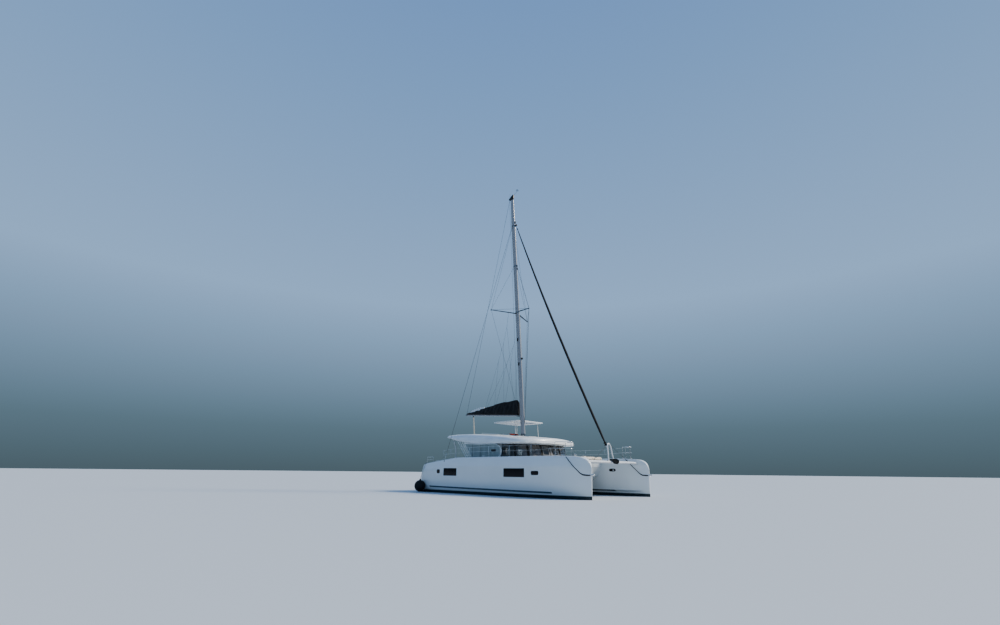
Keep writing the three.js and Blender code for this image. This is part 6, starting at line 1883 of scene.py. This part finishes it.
for name, side in SIDES.items():
    top = [on_deck(x, y, side, 0.69) for x, y in PULPIT_PATH]
    lower = [on_deck(x, y, side, 0.36) for x, y in PULPIT_PATH]
    feet = [on_deck(x, y, side) for x, y in PULPIT_PATH]
    parts = [tube(bent_path([feet[0], *top, feet[-1]], 0.07), RAIL_RADIUS, 14),
             tube(bent_path(lower, 0.05), 0.009, 12)]
    parts += [tube([feet[k], top[k]], RAIL_RADIUS, 14) for k in (1, 3)]
    parts += [foot_plate(feet[k]) for k in (0, 1, 3, 4)]
    piece(f"pulpit_{name}_rails", parts, stainless, stands_for=[f"pulpit_{name}"])
    outline = np.array([(5.065, 2.72), (5.065, 3.02), (5.29, 2.94), (5.29, 2.76)])
    middle = outline.mean(0)
    soft = bent_path(np.vstack([(outline[0] + outline[1]) / 2, outline[1:], outline[0],
                                (outline[0] + outline[1]) / 2]), 0.05)
    rings = [[(x, y * side, z) for x, y in middle + (soft[:-1] - middle) * share] for share,
             z in ((0.3, 2.645), (0.96, 2.645), (1.0, 2.652), (1.0, 2.664), (0.96, 2.672), (0.3, 2.673))]
    piece(f"pulpit_{name}_seat", [skin(rings)], frame_finish)
    posts = [(x, float(hull_column("deck_y", x)) - 0.06) for x in STANCHIONS]
    parts = []
    for share in (0.52, 0.97):
        path = [on_deck(x, y, side, 0.58 * share) for x, y in posts]
        dense = np.concatenate([straight(a, b, 5)[:-1] for a, b in zip(path, path[1:])] + [[path[-1]]])
        parts.append(tube(dense, 0.0045, 8))
        ahead_post = on_deck(4.5, 3.23, side, 0.69 * (0.52 if share < 0.6 else 0.93))
        parts.append(tube([path[-1], ahead_post], 0.0045, 8))
        parts.append(tube([straight(path[-1], ahead_post, 8)[5], straight(path[-1], ahead_post, 8)[6]],
                          0.007, 10))
    for x, y in posts:
        at = on_deck(x, y, side)
        parts.append(tube([at, on_deck(x, y, side, 0.565), on_deck(x, y, side, 0.58)],
                          [0.0125, 0.0115, 0.006], 14))
        parts.append(foot_plate(at))
    piece(f"lifelines_{name}_wires", parts, stainless, stands_for=[f"lifelines_{name}"])
    rail = [(-5.70, 3.56), (-5.06, 3.56)]
    level = [(x, y * side, 2.09) for x, y in rail]
    stern = [tube(bent_path([on_deck(*rail[0], side), level[0], level[1], on_deck(*rail[1], side)], 0.08),
                  RAIL_RADIUS, 14), tube([(x, y * side, 1.93) for x, y in rail], 0.009, 12)]
    stern += [foot_plate(on_deck(*p, side)) for p in rail]
    piece(f"stern_rail_{name}_tubes", stern, stainless, stands_for=[f"stern_rail_{name}"])


# Deck fittings of the hulls
# Horn cleats, flush hatches with dark panes, and teak pads on the stern steps.
def horn_cleat(at, size=0.13):
    """A cleat: a bar with drooping horns on two legs."""
    x, y, z = at
    reach = np.array([-1, -0.7, -0.3, 0, 0.3, 0.7, 1]) * size
    rise = z + np.array([0.052, 0.060, 0.056, 0.055, 0.056, 0.060, 0.052])
    path = [(x + r, y, h) for r, h in zip(reach, rise)]
    made = [tube(path, [0.006, 0.010, 0.013, 0.013, 0.013, 0.010, 0.006], 12)]
    for r in (-0.045, 0.045):
        made.append(tube([(x + r, y, z - 0.002), (x + r, y, z + 0.052)], [0.014, 0.010], 12))
    return made


for name, side in SIDES.items():
    cleats = []
    for x, y in ((4.75, 2.95), (-0.4, 3.58), (-4.62, 3.56)):
        cleats += horn_cleat(on_deck(x, y, side))
    piece(f"deck_cleats_{name}", cleats, stainless)
    frames, panes = [], []
    for x0, x1, y0, y1 in ((2.65, 3.15, 2.60, 3.10), (4.05, 4.45, 2.65, 2.98)):
        z = deck_height((x0 + x1) / 2)
        low, high = across_boat(y0, y1, side)
        frames.append(soft_plate(x0, x1, low, high, z - 0.01, z + 0.016, 0.06, 0.004))
        panes.append(soft_plate(x0 + 0.03, x1 - 0.03, low + 0.03, high - 0.03, z + 0.010, z + 0.022, 0.045,
                                0.003))
    piece(f"deck_hatch_frames_{name}", frames, frame_finish)
    piece(f"deck_hatch_panes_{name}", panes, cabin_glass)
    pads = []
    for x, z in STEPS:
        low, high = across_boat(STEP_WIDTH[0] + 0.05, STEP_WIDTH[1] - 0.05, side)
        pads.append(soft_plate(x - 0.31, x - 0.025, low, high, z + 0.0003, z + 0.009, 0.03, 0.002))
    piece(f"stern_step_pads_{name}", pads, teak)

# Ball fender
# A black inflated ball at the starboard quarter, on a short line from the stern rail's foot.
fender_low, fender_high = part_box("ball_fender")
centre = np.array([(fender_low[0] + fender_high[0]) / 2, -3.99, 0.36])
v = np.linspace(-np.pi / 2 + 0.05, np.pi / 2 - 0.05, 40)
profile = [(0.337 * math.cos(a), 0.337 * math.sin(a)) for a in v[:-3]]
profile += [(0.06, 0.333), (0.045, 0.345), (0.045, 0.40), (0.03, 0.41), (0.012, 0.41)]
points, faces = lathe(profile, centre, sides=56)
points = np.asarray(points)
points[:, 1] = np.minimum(points[:, 1], fender_high[1] - 0.0005)
fender_skin = rubber("black_inflated_vinyl", "131517", 500.0)
piece("ball_fender_skin", [(points, faces)], fender_skin, stands_for=["ball_fender"],
      angle=50)
eye = centre + (0, 0, 0.385)
rail_foot = np.array(on_deck(-5.70, 3.56, -1, 0.02))
line_path = [eye + (0, -0.02, 0), eye + (0, 0.0, 0.03), (eye[0] + 0.02, -3.80, 1.3), (-5.69, -3.70, 1.68),
             rail_foot + (0, -0.03, 0)]
piece("ball_fender_line", [tube(bent_path(line_path, 0.05), 0.007, 10)], dark_rope)
